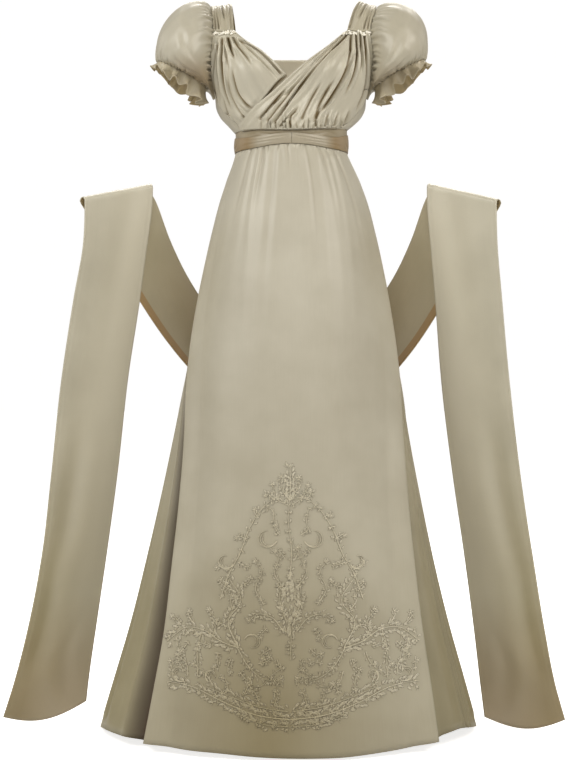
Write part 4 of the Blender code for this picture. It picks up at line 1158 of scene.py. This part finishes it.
# The crossed fronts as they are seen from the front: lines in X and Z
RIGHT_CREASES = creases(
    # shadow of the other front's edge where it crosses over
    (((6, -140), (-15, -156), (-52, -199), (-93, -245)), 3.2, 4.4, 0.2, 0.05),
    # along the neck edge, from the trim to the crossing
    (((-94.2, -77), (-58.8, -104), (-12.1, -150)), 2.4, 3.4, 0.03, 0.1),
    (((-100, -72), (-70, -106), (-30, -148), (-15, -166)), 2.2, 2.2, 0.05, 0.4),
    # from the trim down over the bust
    (((-117.6, -69), (-112, -90), (-103.6, -120.9)), 3.4, 7, 0.03, 0.5),
    (((-108.5, -69), (-100, -85), (-78, -120), (-64, -150)), 2.8, 4, 0.03, 0.6),
    (((-127.8, -69), (-126, -158.2), (-107.3, -217.9)), 3.4, 5.2, 0.03, 0.3),
    (((-123, -70), (-119, -115), (-113, -150)), 2.6, 3.4, 0.03, 0.5),
    (((-136, -80), (-138, -130), (-133, -175)), 3.2, 4, 0.05, 0.4),
    (((-141, -90), (-145, -150), (-133, -220)), 3, 3.4, 0.1, 0.3),
    # round under the bust, into the waist
    (((-111, -126.5), (-105.4, -154.5), (-96.1, -182.5), (-81.2, -201.1), (-64.4, -214.2)), 3, 4, 0.3, 0.2),
    (((-119, -140), (-113, -175), (-100, -205), (-83, -229)), 3, 3, 0.3, 0.1),
    (((-129, -170), (-120, -205), (-108, -238)), 2.8, 3.6, 0.3, 0.05),
    (((-90, -215), (-76, -240)), 2.4, 3, 0.5, 0.02),
    (((-78, -212), (-64, -235)), 2.4, 2.8, 0.5, 0.02),
)
LEFT_CREASES = creases(
    # the long folds that run from the trim across to the waist
    (((114.8, -60), (38.3, -145.1), (-31.7, -241.2)), 2.8, 4, 0.02, 0.05),
    (((105.4, -62), (53.2, -120.9), (4.7, -173.1), (-42, -215)), 2.4, 3.4, 0.02, 0.3),
    (((111, -61), (60, -124), (16, -176), (-20, -220)), 2.2, 3, 0.02, 0.3),
    (((-0.9, -168.5), (-30, -200), (-58.8, -231.9)), 2.8, 5, 0.3, 0.1),
    (((13, -164), (-12, -196), (-44, -236)), 2.6, 4, 0.3, 0.05),
    (((116.6, -60), (111, -120.9), (75.6, -191.8), (38.3, -236.6)), 3, 6.4, 0.02, 0.3),
    (((121, -60), (118, -110), (95, -165), (70, -205)), 2.4, 3.4, 0.02, 0.5),
    (((126, -60), (124.1, -132.1), (99.8, -195.5)), 2.8, 6, 0.02, 0.4),
    (((133.4, -60), (135.3, -147)), 2.8, 5.2, 0.02, 0.5),
    (((140.9, -60), (142.7, -165.7), (122.2, -217.9)), 2.8, 4.8, 0.02, 0.3),
    (((89, -150), (62, -190), (45, -238)), 3.4, 4.4, 0.4, 0.05),
    (((64, -156), (40, -193), (22, -233)), 3, 3.6, 0.4, 0.05),
    # short gathers over the waist
    (((19.6, -203), (-17.7, -244)), 2.4, 4.2, 0.3, 0.02),
    (((17.7, -210.4), (0.9, -229.1), (0.9, -247.8)), 2.4, 3.8, 0.3, 0.02),
    (((56, -215), (48, -244)), 2.4, 3.4, 0.6, 0.02),
    (((76, -208), (66, -243)), 2.6, 3.8, 0.6, 0.02),
    (((96, -208), (83, -240)), 2.6, 3.4, 0.6, 0.02),
    (((118, -200), (102, -236)), 2.6, 3.4, 0.6, 0.02),
)
# From here on along the cloth: across and up its cut
SLEEVE_CREASES = creases(
    (((520, 80), (565, 92), (610, 84)), 7, 2.6, 0.4, 0.4),
    (((30, 60), (70, 74), (110, 64)), 7, 2.2, 0.4, 0.5),
    (((500, 120), (540, 138), (590, 130)), 6, 3, 0.4, 0.4),
    (((250, 70), (300, 84), (340, 74)), 7, 3, 0.4, 0.4),
)
STRAP_CREASES = creases(
    (((5, 4), (6.2, 80), (5.5, 216)), 1.7, 3, 0.02, 0.02),
    (((12, 4), (10, 50), (10.5, 110), (13, 216)), 1.8, 3, 0.02, 0.02),
    (((27.5, 15), (24, 50), (20, 105), (21, 216)), 1.8, 3.8, 0.2, 0.02),
    (((30, 70), (29, 110), (30, 216)), 1.8, 2.6, 0.5, 0.02),
    (((38.5, 4), (37.5, 110), (38.5, 216)), 1.7, 2, 0.02, 0.02),
)
# Soft folds that fall from the gathers of the skirt's waist
SKIRT_CREASES = creases(
    (((150, 1126), (138, 960), (118, 700)), 11, 1.4, 0.01, 0.8),
    (((214, 1126), (205, 990), (198, 800)), 7, 1.6, 0.01, 0.8),
    (((262, 1126), (252, 900), (240, 560)), 11, 1.2, 0.01, 0.8),
    (((302, 1126), (306, 1050), (300, 950)), 6, 1.6, 0.01, 0.8),
    (((371, 1126), (378, 930), (384, 660)), 9, 1.6, 0.01, 0.8),
    (((430, 1126), (440, 1000), (448, 800)), 7, 1.4, 0.01, 0.8),
    (((500, 1126), (516, 960), (545, 700)), 10, 1.6, 0.01, 0.8),
)
# Hollow behind the front panel's edge; the left panel also has narrow pleats towards the side
SIDE_CREASES = {
    "right": creases(
        (((30, -10), (30, 500), (22, 950)), 13, 13, 0.01, 0.4),
        (((150, 10), (156, 300), (150, 620)), 11, 5, 0.02, 0.6),
    ),
    "left": creases(
        (((30, -10), (30, 500), (22, 950)), 13, 5, 0.01, 0.4),
        (((150, 10), (156, 300), (150, 620)), 11, 5, 0.02, 0.6),
        (((98, -10), (96, 400), (86, 820)), 3.2, 4.4, 0.01, 0.4),
        (((114, -10), (110, 400), (96, 780)), 3, 3.6, 0.01, 0.4),
    ),
}
BELT_CREASES = creases(
    (((0, 20), (50, 17), (110, 21.5)), 2.2, 1, 0.1, 0.5),
    (((10, 9), (60, 11), (120, 7)), 2.4, 0.8, 0.4, 0.5),
    (((150, 18), (200, 12), (300, 16)), 2.4, 1, 0.4, 0.4),
    (((120, 14), (140, 6), (160, 4)), 2.2, 1, 0.4, 0.4),
)
# Bloused edge of the bodice over the waistband, pinched at centre front
BAND_CREASES = creases(
    (((250, 30), (285, 27.5), (312, 32)), 1.8, 1.2, 0.3, 0.3),
    (((318, 32), (345, 27), (385, 30)), 1.8, 1.2, 0.3, 0.3),
    (((225, 26.5), (260, 33.5)), 1.8, 1, 0.3, 0.3),
    (((370, 33.5), (410, 26.2)), 1.8, 1, 0.3, 0.3),
)
FALL_CREASES = creases(
    (((118, 1060), (92, 840), (106, 560), (78, 200)), 22, 1.6, 0.1, 0.7),
    (((36, 940), (60, 640), (50, 380)), 24, 1.2, 0.4, 0.5),
    (((62, 600), (56, 420), (40, 240)), 20, 4.6, 0.4, 0.4),
    (((24, 360), (40, 220), (20, 40)), 18, 3, 0.4, 0.3),
    (((120, 200), (100, 110), (128, 20)), 14, 2.2, 0.4, 0.3),
    # stitched edges
    (((7, 2), (7, 1070)), 2.2, 0.4, 0.01, 0.01),
    (((151, 2), (151, 1070)), 2.2, 0.4, 0.01, 0.01),
)


def sharpened(folds, width_share, depth_share):
    """The same folds, narrower or wider and shallower or deeper."""
    return tuple(
        (line, width * width_share, deep * depth_share, *fades) for line, width, deep, *fades in folds
    )


def gathers(seed, span, count, edge, reach, width, deep):
    """Short uneven gathers from a seam: its span across the cut, their number, and its place up the cut.

    They start sharp at the seam and fade out along their own uneven length.
    """
    chance = random.Random(seed)
    folds = []
    for number in range(count):
        x = lerp(*span, (number + chance.uniform(0, 0.7)) / count)
        length = reach * chance.uniform(0.45, 1.35)
        lean = reach * chance.uniform(-0.125, 0.125)
        line = ((x, edge), (x + 0.4 * lean, edge + 0.4 * length), (x + lean, edge + length))
        folds.append((line, width * chance.uniform(0.8, 1.3), deep * chance.uniform(0.6, 1.2), 0.02, 0.85))
    return tuple(folds)


# The left front also has short gathers over the belt
FRONT_CREASES = {
    "right": RIGHT_CREASES,
    "left": LEFT_CREASES + gathers(21, (-0.055, 0.105), 17, -0.248, 0.036, 0.0019, 0.0028),
}


def shifted(folds, step):
    """The same folds further across the cut."""
    return tuple((tuple((x + step, y) for x, y in line), *sizes) for line, *sizes in folds)


def sleeve_gathers(width, length):
    """All round the armhole and the elastic; the front lies on both ends of the cut."""
    head = gathers(3, (-0.12 * width, 0.56 * width), 52, 0.05 * length, 0.046, 0.0024, 0.0034)
    cuff = gathers(4, (-0.15 * width, 0.90 * width), 60, length, -0.034, 0.0026, 0.0034)
    folds = head + cuff + SLEEVE_CREASES
    return folds + shifted(folds, width) + shifted(folds, -width)


# ---------------------------------------------------------------- embroidery

def vines(*rows):
    """Rows in millimetres of a line in X and Z, the stem's width, and the leaves' length, spacing and
    spread, and then the places of the flowers along it.
    """
    return tuple((*metres(row[:-1]), row[-1]) for row in rows)


# At the wearer's left; the other half mirrors them
VINES = vines(
    # the thick garland over the hem, from its middle to its end
    (((0, -1318), (60, -1311), (125, -1291), (185, -1268), (238, -1262)),
     1.6, 13, 5, 7, (0.04, 0.22, 0.4, 0.6, 0.86)),
    (((4, -1304), (55, -1297), (112, -1281), (160, -1266)), 1.2, 12, 5.2, 6, (0.12, 0.45, 0.8)),
    (((2, -1330), (50, -1326), (100, -1309)), 1, 11, 5.6, 4, (0.3, 0.75)),
    # the spray that runs out to the panel's side
    (((98, -1196), (132, -1186), (165, -1168), (200, -1166), (240, -1192)),
     1.4, 14, 6, 6, (0.25, 0.5, 0.72)),
    (((170, -1172), (178, -1200), (176, -1228)), 1, 10, 7, 3, (0.55,)),
    # the side of the pyramid, from the spray up to the top
    (((98, -1196), (118, -1150), (94, -1112), (116, -1076)), 1.4, 13, 6.4, 5, (0.3, 0.62)),
    (((134, -1112), (118, -1068), (96, -1030), (78, -986), (50, -946), (14, -922)),
     1.3, 9.5, 13, 2, (0.2, 0.52)),
    (((30, -976), (36, -950), (52, -948)), 1.1, 8, 9, 2, ()),
    # swags under the bouquet
    (((100, -1196), (80, -1226), (50, -1248), (18, -1252)), 1.2, 10, 6.6, 4, (0.4, 0.9)),
    (((14, -1228), (30, -1238), (60, -1262), (82, -1258)), 0.9, 7.5, 11, 2, (0.95,)),
    # scrolls between the bouquet and the pyramid's side
    (((12, -1090), (30, -1062), (22, -1036), (38, -1020)), 1.1, 8.5, 8.8, 2, (0.55,)),
    (((50, -1120), (66, -1090), (54, -1062), (70, -1040)), 1.1, 8.5, 8, 2, (0.1, 0.96)),
    (((150, -1180), (142, -1152), (158, -1130)), 1, 10.5, 6.2, 2, (0.97,)),
    (((196, -1250), (200, -1228), (222, -1214)), 1, 9.5, 7, 2, (0.96,)),
    # leaves at both sides of the bouquet
    (((12, -1166), (34, -1142), (60, -1136), (82, -1150)), 1.2, 11, 6.6, 4, (0.55, 0.95)),
    (((6, -1150), (20, -1110), (18, -1076)), 1.1, 12, 6.2, 3, (0.45, 0.85)),
)
# Scrolls, in millimetres: middle, first radius, turns and start angle in degrees
VOLUTES = (
    ((46, -1000), 15, 0.72, 200), ((126, -1044), 12, 0.75, 200), ((70, -1186), 12, 0.8, 20),
    ((214, -1246), 12, 0.8, 230), ((150, -1246), 9, 0.8, 300),
)
# Short twigs that fill the field, in millimetres: foot in X and Z, heading in degrees and length
SPRIGS = (
    (30, -1292, 100, 22), (58, -1288, 70, 24), (88, -1276, 110, 22), (118, -1272, 80, 26),
    (150, -1258, 60, 24), (178, -1252, 100, 24), (206, -1244, 75, 20), (232, -1244, 110, 18),
    (60, -1222, 160, 22), (96, -1236, 250, 22), (112, -1214, 300, 26), (138, -1204, 280, 28),
    (150, -1196, 20, 24), (196, -1190, 300, 26), (220, -1186, 260, 24), (186, -1158, 60, 22),
    (212, -1162, 40, 22), (120, -1160, 20, 26), (110, -1130, 60, 24), (112, -1096, 20, 26),
    (96, -1090, 150, 24), (116, -1060, 30, 24), (100, -1046, 200, 20), (36, -1196, 330, 22),
    (24, -1214, 250, 18), (44, -1160, 300, 20), (20, -996, 40, 18), (30, -934, 60, 18),
    (60, -966, 40, 16), (84, -1004, 30, 18), (14, -1262, 80, 16), (10, -1038, 50, 20),
)
# The vines down the middle
SPINES = vines(
    (((0, -1215), (2, -1180), (0, -1150)), 1.4, 10, 6.2, 3, ()),
    (((0, -1075), (3, -1020), (-3, -970), (0, -930)), 1.3, 10, 15, 1, (0.45,)),
    (((0, -935), (1, -900), (0, -872)), 1.2, 12, 4.4, 4, (0.1, 0.5, 0.98)),
    (((0, -935), (13, -914), (17, -892)), 1, 9, 5.2, 1, (0.97,)),
    (((0, -935), (-14, -916), (-16, -890)), 1, 9, 5.2, 1, (0.97,)),
    (((2, -944), (22, -930), (34, -906)), 1, 9, 5.6, 1, (0.97,)),
    (((-2, -944), (-24, -932), (-32, -904)), 1, 9, 5.6, 1, (0.97,)),
)


PANEL_SHARE = {"right": 0.93, "left": 0.98}   # width of each half of the needlework
LEAF_RISE = 0.0026         # height of the padded stitches over the cloth
LEAF_HALF = 0.23           # half a leaf's width, as a share of its length
VEIN_DEPTH, VEIN_WIDTH = 0.45, 0.28   # of the split down a leaf, as shares of its height and half width
STEM_TAPER, STEM_STEP = 0.45, 0.004
SUNK = 0.0003              # their edge lies this deep in the cloth
LEAF_GAP_CHANCE, TENDRIL_CHANCE = 0.12, 0.42
TENDRIL_WIDTH, STRAND_WIDTH = 0.0010, 0.0013
# A twig's stem width, leaf length, leaf spacing, spread and its one bud, as in a vine
TWIG = (0.0013, 0.0085, 0.0052, 0.0015, (0.98,))
BOUQUET_LEAVES, BOUQUET_FLOWER = 64, 0.0072
BOUQUET_FOOT, BOUQUET_TOP, BOUQUET_HALF = -1.180, -1.066, 0.030
# Flowers of the bouquet, in millimetres
BOUQUET = ((0, -1148), (16, -1134), (-15, -1128), (4, -1106), (-8, -1166), (12, -1160), (-4, -1084))


def pad(mesh, columns, rows, shape, size):
    """A raised patch of stitches: shape(a, b) gives X, Z and height; a runs across, b along."""
    crown = mesh.verts.layers.float.get("crown") or mesh.verts.layers.float.new("crown")
    cut = mesh.loops.layers.uv.get("Cut") or mesh.loops.layers.uv.new("Cut")
    grid = bmesh.ops.create_grid(mesh, x_segments=columns, y_segments=rows, size=0.5)
    faces = {face for vert in grid["verts"] for face in vert.link_faces}
    for face in faces:
        for loop in face.loops:
            loop[cut].uv = ((loop.vert.co.y + 0.5) * size[1], loop.vert.co.x * size[0])
    for vert in grid["verts"]:
        x, z, height = shape(vert.co.x * 2, vert.co.y + 0.5)
        # Its height, by which the floss is painted pale on top and dark at its edges, as painted highlight
        # and shade
        vert[crown] = height / LEAF_RISE
        vert.co = (x, height - SUNK, z)


def leaf(mesh, base, turn, length, bend=0.0):
    """A leaf in padded satin stitch, split along its vein."""
    along = Vector((cos(turn), sin(turn)))
    side = Vector((-along.y, along.x))
    half = length * LEAF_HALF

    def shape(a, b):
        swell = sin(pi * min(b * 1.04, 1)) ** 0.75
        place = Vector(base) + along * length * b + side * (a * half * swell + bend * length * b * b)
        vein = 1 - VEIN_DEPTH * exp(-((a / VEIN_WIDTH) ** 2))
        return place.x, place.y, LEAF_RISE * (1 - a * a) * swell ** 0.5 * vein
    pad(mesh, 4, 5, shape, (half * 2, length))


def stem(mesh, line, width, count):
    """A corded stem that thins towards its end."""
    line = smooth_line(line, count)
    across = np.gradient(line, axis=0)
    across = np.stack((-across[:, 1], across[:, 0]), axis=1)
    across /= np.linalg.norm(across, axis=1)[:, None]

    def shape(a, b):
        row = round(b * (count - 1))
        half = width * (1 - STEM_TAPER * b)
        x, z = line[row] + across[row] * a * half
        return x, z, LEAF_RISE * (1 - a * a)
    pad(mesh, 4, count - 1, shape, (width * 2, width * count))


def flower(mesh, middle, radius, petals, turn):
    """Five or six short petals round a knot."""
    for petal in range(petals):
        leaf(mesh, middle, turn + 2 * pi * petal / petals, radius)
    knot = bmesh.ops.create_icosphere(mesh, subdivisions=1, radius=radius * 0.26)
    # The knot is painted pale all over, as painted highlight
    for vert in knot["verts"]:
        vert[mesh.verts.layers.float["crown"]] = 1
    bmesh.ops.translate(mesh, verts=knot["verts"], vec=(middle[0], LEAF_RISE * 0.6, middle[1]))


def vine(mesh, chance, line, width, leaf_length, spacing, spread, flowers):
    """A stem with leaves at both sides and flowers at some places along it."""
    span = sum(dist(start, end) for start, end in zip(line, line[1:]))
    stem(mesh, line, width, max(12, int(span / STEM_STEP)))
    dense = smooth_line(line, 200)
    steps = int(span / spacing)
    for step in range(steps):
        at = min(int((step + chance.uniform(0, 0.3)) / steps * 197), 197)
        here, ahead = dense[at], dense[at + 2] - dense[at]
        heading = np.arctan2(ahead[1], ahead[0])
        for sign in (-1, 1):
            if chance.random() < LEAF_GAP_CHANCE:
                continue
            turn = heading + sign * chance.uniform(0.55, 1.15)
            off = spread * chance.random() * sign
            base = (here[0] - sin(heading) * off, here[1] + cos(heading) * off)
            leaf(mesh, base, turn, leaf_length * chance.uniform(0.65, 1.15), -0.25 * sign)
            if chance.random() < TENDRIL_CHANCE:
                tendril(mesh, base, turn + chance.uniform(-0.2, 0.2), leaf_length * 0.42, sign)
    for share in flowers:
        place = dense[min(int(share * 199), 199)]
        flower(mesh, tuple(place), chance.uniform(0.0058, 0.0080), chance.choice((5, 6)), chance.random())


def tendril(mesh, base, turn, radius, sign):
    """A fine thread-like scroll that leaves a stem and curls back on itself."""
    base, ahead = Vector(base), Vector((cos(turn), sin(turn))) * radius * 1.6
    points = []
    for step in range(9):
        share = step / 8
        bend = turn - sign * lerp(0.6, 5.2, share)
        curl = Vector((cos(bend), sin(bend))) * radius * lerp(1, 0.45, share)
        points.append(base + ahead * min(share * 2, 1) + curl)
    stem(mesh, points, TENDRIL_WIDTH, 13)


def sprig(mesh, chance, base, heading, length):
    """A short curled twig with leaves and a bud."""
    turn = radians(heading + chance.uniform(-15, 15))
    curl = chance.uniform(0.5, 1.0) * chance.choice((-1, 1))
    along, side = Vector((cos(turn), sin(turn))), Vector((-sin(turn), cos(turn)))
    shares = [step / 4 for step in range(5)]
    line = [Vector(base) + length * (along * sin(1.9 * share) + side * 0.45 * curl * share ** 2)
            for share in shares]
    vine(mesh, chance, line, *TWIG)


def volute(mesh, middle, radius, turns, start, sign):
    """A scroll of three strands that part from one tail and curl in, each one tighter and shorter."""
    for strand in range(3):
        sweep, shrink = 1 - 0.16 * strand, 0.62 + 0.20 * strand
        points = []
        for step in range(16):
            share = step / 15
            turn = radians(start) + sign * 2 * pi * turns * share * sweep
            reach = radius * (1.35 - shrink * smooth(share, 0, 0.9))
            points.append((middle[0] + reach * cos(turn), middle[1] + reach * sin(turn)))
        stem(mesh, points, STRAND_WIDTH, 22)


def lay_on(mesh, ground):
    """Lays flat needlework on a piece of cloth: its Y is its height over the cloth."""
    tree = BVHTree.FromObject(ground, bpy.context.evaluated_depsgraph_get())
    for vert in mesh.verts:
        hit, normal, _, _ = tree.ray_cast(Vector((vert.co.x, -1, vert.co.z)), Vector((0, 1, 0)))
        if hit is None:  # past the cloth's edge
            hit, normal, _, _ = tree.find_nearest(Vector((vert.co.x, -0.2, vert.co.z)))
        vert.co = hit + normal * vert.co.y


def settle(name, mesh, ground):
    """Lays needlework on the cloth and makes a piece of it."""
    lay_on(mesh, ground)
    bmesh.ops.recalc_face_normals(mesh, faces=mesh.faces)
    face_away(mesh, Vector((0, 0.5, -1.1)))
    piece = finish(name, mesh, FLOSS)
    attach(piece, "root")


def make_half(side, ground):
    """The vines, scrolls and twigs of one side of the pyramid and its garland."""
    sign = SIGNS[side]
    chance = random.Random(11 + sign)
    mesh = bmesh.new()
    across = sign * PANEL_SHARE[side]
    for line, *sizes in VINES:
        vine(mesh, chance, [(across * x, z) for x, z in line], *sizes)
    for middle, radius, turns, start in VOLUTES:
        x, z, radius = metres((*middle, radius))
        volute(mesh, (across * x, z), radius, turns, start if sign > 0 else 180 - start, sign)
    for *foot, heading, length in SPRIGS:
        x, z, length = metres((*foot, length))
        sprig(mesh, chance, (across * x, z), heading if sign > 0 else 180 - heading, length)
    settle(f"embroidery_{side}", mesh, ground)


def make_middle(ground):
    """The pyramid's spine and the bouquet at its heart."""
    chance = random.Random(5)
    mesh = bmesh.new()
    for line, *sizes in SPINES:
        vine(mesh, chance, line, *sizes)
    for _ in range(BOUQUET_LEAVES):
        rise = chance.random()
        half = BOUQUET_HALF * sin(pi * min(rise + 0.08, 1)) ** 0.8 * (1.1 - 0.5 * rise)
        x = half * chance.uniform(-1, 1)
        turn = pi / 2 + x / BOUQUET_HALF * 1.3 + chance.uniform(-0.25, 0.25)
        base = (x, lerp(BOUQUET_FOOT, BOUQUET_TOP, rise))
        leaf(mesh, base, turn, chance.uniform(0.0105, 0.0145))
    for middle in metres(BOUQUET):
        flower(mesh, middle, BOUQUET_FLOWER, 6, chance.random())
    settle("embroidery_middle", mesh, ground)


# ---------------------------------------------------------------- pearls

def make_pearls(row, side, cloth_form, middle):
    """A close, uneven double row of small pearls across the cloth."""
    across_at, count, size, stray = PEARL_ROWS[row]
    node = f"{row}_{side}"
    chance = random.Random(node)
    mesh = bmesh.new()
    for number in range(count):
        u = lerp(0.02, 0.98, min(max((number + chance.uniform(-0.25, 0.25)) / (count - 1), 0), 1))
        place = cloth_form(u, across_at + stray * chance.uniform(-0.5, 0.5))
        radius = size * chance.uniform(0.75, 1.25)
        away = (place - middle).normalized()
        ball = bmesh.ops.create_icosphere(mesh, subdivisions=2, radius=radius)
        uneven = (1, chance.uniform(0.9, 1.1), chance.uniform(0.85, 1.15))
        bmesh.ops.scale(mesh, verts=ball["verts"], vec=uneven)
        bmesh.ops.translate(mesh, verts=ball["verts"], vec=place + away * radius * 0.8)
    piece = finish(f"{node}_pearls", mesh, PEARL)
    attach(piece, "root")
    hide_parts(node)


# ---------------------------------------------------------------- the gown

# Cut of what shows of each piece: width, length, and the share of that rectangle that it fills
CUTS = {
    "skirt_front": (0.640, 1.130, 0.75),
    "skirt_back": (0.950, 1.140, 0.69),
    "skirt_side_right": (0.270, 1.130, 0.60),
    "skirt_side_left": (0.270, 1.130, 0.60),
    "waistband": (0.630, 0.037, 1.00),
    "belt_right": (0.323, 0.0265, 1.00),
    "belt_left": (0.324, 0.0285, 1.00),
    "bodice_front_right": (0.175, 0.245, 0.74),
    "bodice_front_left": (0.215, 0.255, 0.72),
    "bodice_back": (0.310, 0.172, 0.93),
    "bodice_side_right": (0.077, 0.088, 0.90),
    "bodice_side_left": (0.071, 0.085, 0.90),
    "strap_right": (0.044, 0.220, 0.92),
    "strap_left": (0.042, 0.225, 0.92),
    "sleeve_right": (0.550, 0.175, 0.65),
    "sleeve_left": (0.560, 0.175, 0.65),
    "frill_right": (0.400, 0.0250, 1.00),
    "frill_left": (0.405, 0.0250, 1.00),
    "stole_fall_right": (0.158, 1.077, 1.00),
    "stole_fall_left": (0.158, 1.085, 1.00),
    "stole_behind": (0.158, 1.176, 1.00),
}


def sew(node, surface, columns, rows, middle, held, rests_on, folds=(), **kinds):
    """Makes the cloth that stands for a node from its cut, and hides the node's part."""
    width, length, share = CUTS[node]
    piece = cloth(f"{node}_cloth", surface, columns, rows, middle, (width, length), folds, **kinds)
    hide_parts(node)
    return piece


def make_skirt():
    middle = (0, 0.03, -0.9)
    front = sew("skirt_front", skirt_front_surface, 200, 130, middle, "hung", ["waistband"],
                SKIRT_CREASES + gathers(8, (0.02, 0.62), 20, 1.128, -0.045, 0.0040, 0.0022),
                satin_side=FRONT_SATIN)
    sew("skirt_back", skirt_back_surface, 170, 90, middle, "gathered", ["waistband"])
    for side in SIGNS:
        sew(f"skirt_side_{side}", skirt_side_surface(side), 116, 110, middle, "hung", ["waistband"],
            SIDE_CREASES[side], satin_side=SIDE_SATIN[side])
    return front


def make_waist():
    middle = (0, 0, -0.265)
    sew("waistband", waistband_surface, 300, 16, middle, "stretched", ["bodice_back"], BAND_CREASES,
        closed=True, satin_side=BAND_SATIN)
    for side, sign in SIGNS.items():
        sew(f"belt_{side}", belt_surface(sign), 160, 20, middle, "stretched", ["waistband"],
            BELT_CREASES, satin_side=BELT_SATIN)


def make_bodice():
    middle = (0, 0.01, -0.17)
    fronts = {
        "right": front_surface("right", RIGHT_FOLDS, 0.0),
        "left": front_surface("left", LEFT_FOLDS, LAYER),
    }
    for side, surface in fronts.items():
        sew(f"bodice_front_{side}", surface, 136, 130, middle, "gathered", ["waistband"],
            sharpened(FRONT_CREASES[side], 0.80, 1.25), seen_from_front=True,
            satin_side=BODICE_SATIN, wrong_side=GOWN_SATIN)
        sew(f"bodice_side_{side}", bodice_side_surface(side), 30, 24, middle, "stretched", ["waistband"])
    sew("bodice_back", bodice_back_surface, 80, 50, middle, "stretched", ["waistband"],
        wrong_side=FACING)
    return fronts


def make_shoulder(side, front):
    def front_top(u):
        return front(u, 1)

    def back_top(u):
        share = u * STRAP_SHARE
        return bodice_back_surface(share if side == "right" else 1 - share, 1)

    strap = strap_surface(side, front_top, back_top)
    sew(f"strap_{side}", strap, 44, 110, shoulder_centre(side), "stretched", [f"bodice_front_{side}"],
        STRAP_CREASES, satin_side=STRAP_SATIN)
    inside = cuff_frame(side)[0]
    sew(f"sleeve_{side}", sleeve_surface(side), 264, 70, inside, "gathered", [f"bodice_front_{side}"],
        sleeve_gathers(*CUTS[f"sleeve_{side}"][:2]), closed=True, satin_side=SLEEVE_SATIN[side])
    sew(f"frill_{side}", frill_surface(side), 280, 12, inside, "gathered", [f"sleeve_{side}"], closed=True,
        satin_side=FRILL_SATIN)
    return strap


def make_stole():
    for side, sign in SIGNS.items():
        sew(f"stole_fall_{side}", fall_surface(side), 50, 160, (sign * 0.42, 0.5, -0.9), "hung",
            ["stole_behind"], FALL_CREASES, satin_side=FALL_SATIN)
    sew("stole_behind", behind_surface, 32, 160, (0, -0.5, -0.6), "hung", ["skirt_back"],
        satin_side=STOLE_SATIN, wrong_side=STOLE_LINING)


# ---------------------------------------------------------------- studio

FLOOR_HALF, FLOOR_GAP = 30, 0.0005
# Level with the gown's middle, with a long lens
CAMERA_PLACE, CAMERA_LENS = (-0.00965, -3.0, -0.718), 73.6


def area_light(name, place, aim_z, size, power, colour):
    """A softbox that looks at the gown's middle line at a height."""
    data = bpy.data.lights.new(name, "AREA")
    data.shape = "RECTANGLE"
    data.size, data.size_y = size
    data.energy = power
    data.color = linear(colour)
    lamp = add_object(name, data)
    lamp.location = place
    lamp.rotation_euler = (Vector((0, 0, aim_z)) - lamp.location).to_track_quat("-Z", "Y").to_euler()


def make_floor():
    mesh = bmesh.new()
    bmesh.ops.create_grid(mesh, x_segments=1, y_segments=1, size=FLOOR_HALF)
    bmesh.ops.translate(mesh, verts=mesh.verts, vec=(0, 0, cad_box[0].z - FLOOR_GAP))
    finish("studio_floor", mesh, PAPER)


def make_light():
    world = bpy.data.worlds.new("studio_world")
    world.use_nodes = True
    sky = world.node_tree.nodes["Background"]
    sky.inputs["Color"].default_value = (*linear("fffefd"), 1)
    # A bright backdrop for the camera alone, and a soft fill for the cloth
    sight = add_node(world.node_tree, "ShaderNodeLightPath", {}, {}).outputs["Is Camera Ray"]
    strength = add_node(world.node_tree, "ShaderNodeMapRange", {"To Min": 0.36, "To Max": 1.02},
                        {"Value": sight})
    world.node_tree.links.new(strength.outputs["Result"], sky.inputs["Strength"])
    bpy.context.scene.world = world

    area_light("key_left", (-1.85, -1.50, 1.20), -0.6, (0.9, 1.4), 35, "fffdf8")
    area_light("key_right", (1.95, -1.50, 1.15), -0.6, (0.9, 1.4), 31, "fffaf2")
    area_light("front_softbox", (0.1, -3.0, 0.9), -0.5, (2.4, 1.0), 20, "fffcf6")
    area_light("back_softbox", (0.3, 2.6, 2.2), -0.6, (2.4, 1.4), 70, "fffcf6")
    area_light("rim_left", (-2.4, 0.8, 0.4), -0.6, (0.8, 1.8), 6, "fffaf2")
    area_light("rim_right", (2.4, 0.8, 0.4), -0.6, (0.8, 1.8), 5, "fffaf2")


def make_camera():
    bpy.context.scene.view_settings.view_transform = "Standard"
    data = bpy.data.cameras.new("camera")
    data.lens = CAMERA_LENS
    data.sensor_width = 36
    data.clip_end = 100
    camera = add_object("camera", data)
    camera.location = CAMERA_PLACE
    camera.rotation_euler = (pi / 2, 0, 0)
    bpy.context.scene.camera = camera


make_floor()
make_light()
make_camera()
skirt_front_piece = make_skirt()
make_waist()
for side_name in SIGNS:
    make_half(side_name, skirt_front_piece)
make_middle(skirt_front_piece)
for side_name, front_form in make_bodice().items():
    strap_form = make_shoulder(side_name, front_form)
    make_pearls("trim_front", side_name, front_form, shoulder_centre(side_name))
    make_pearls("trim_top", side_name, strap_form, shoulder_centre(side_name))
make_stole()
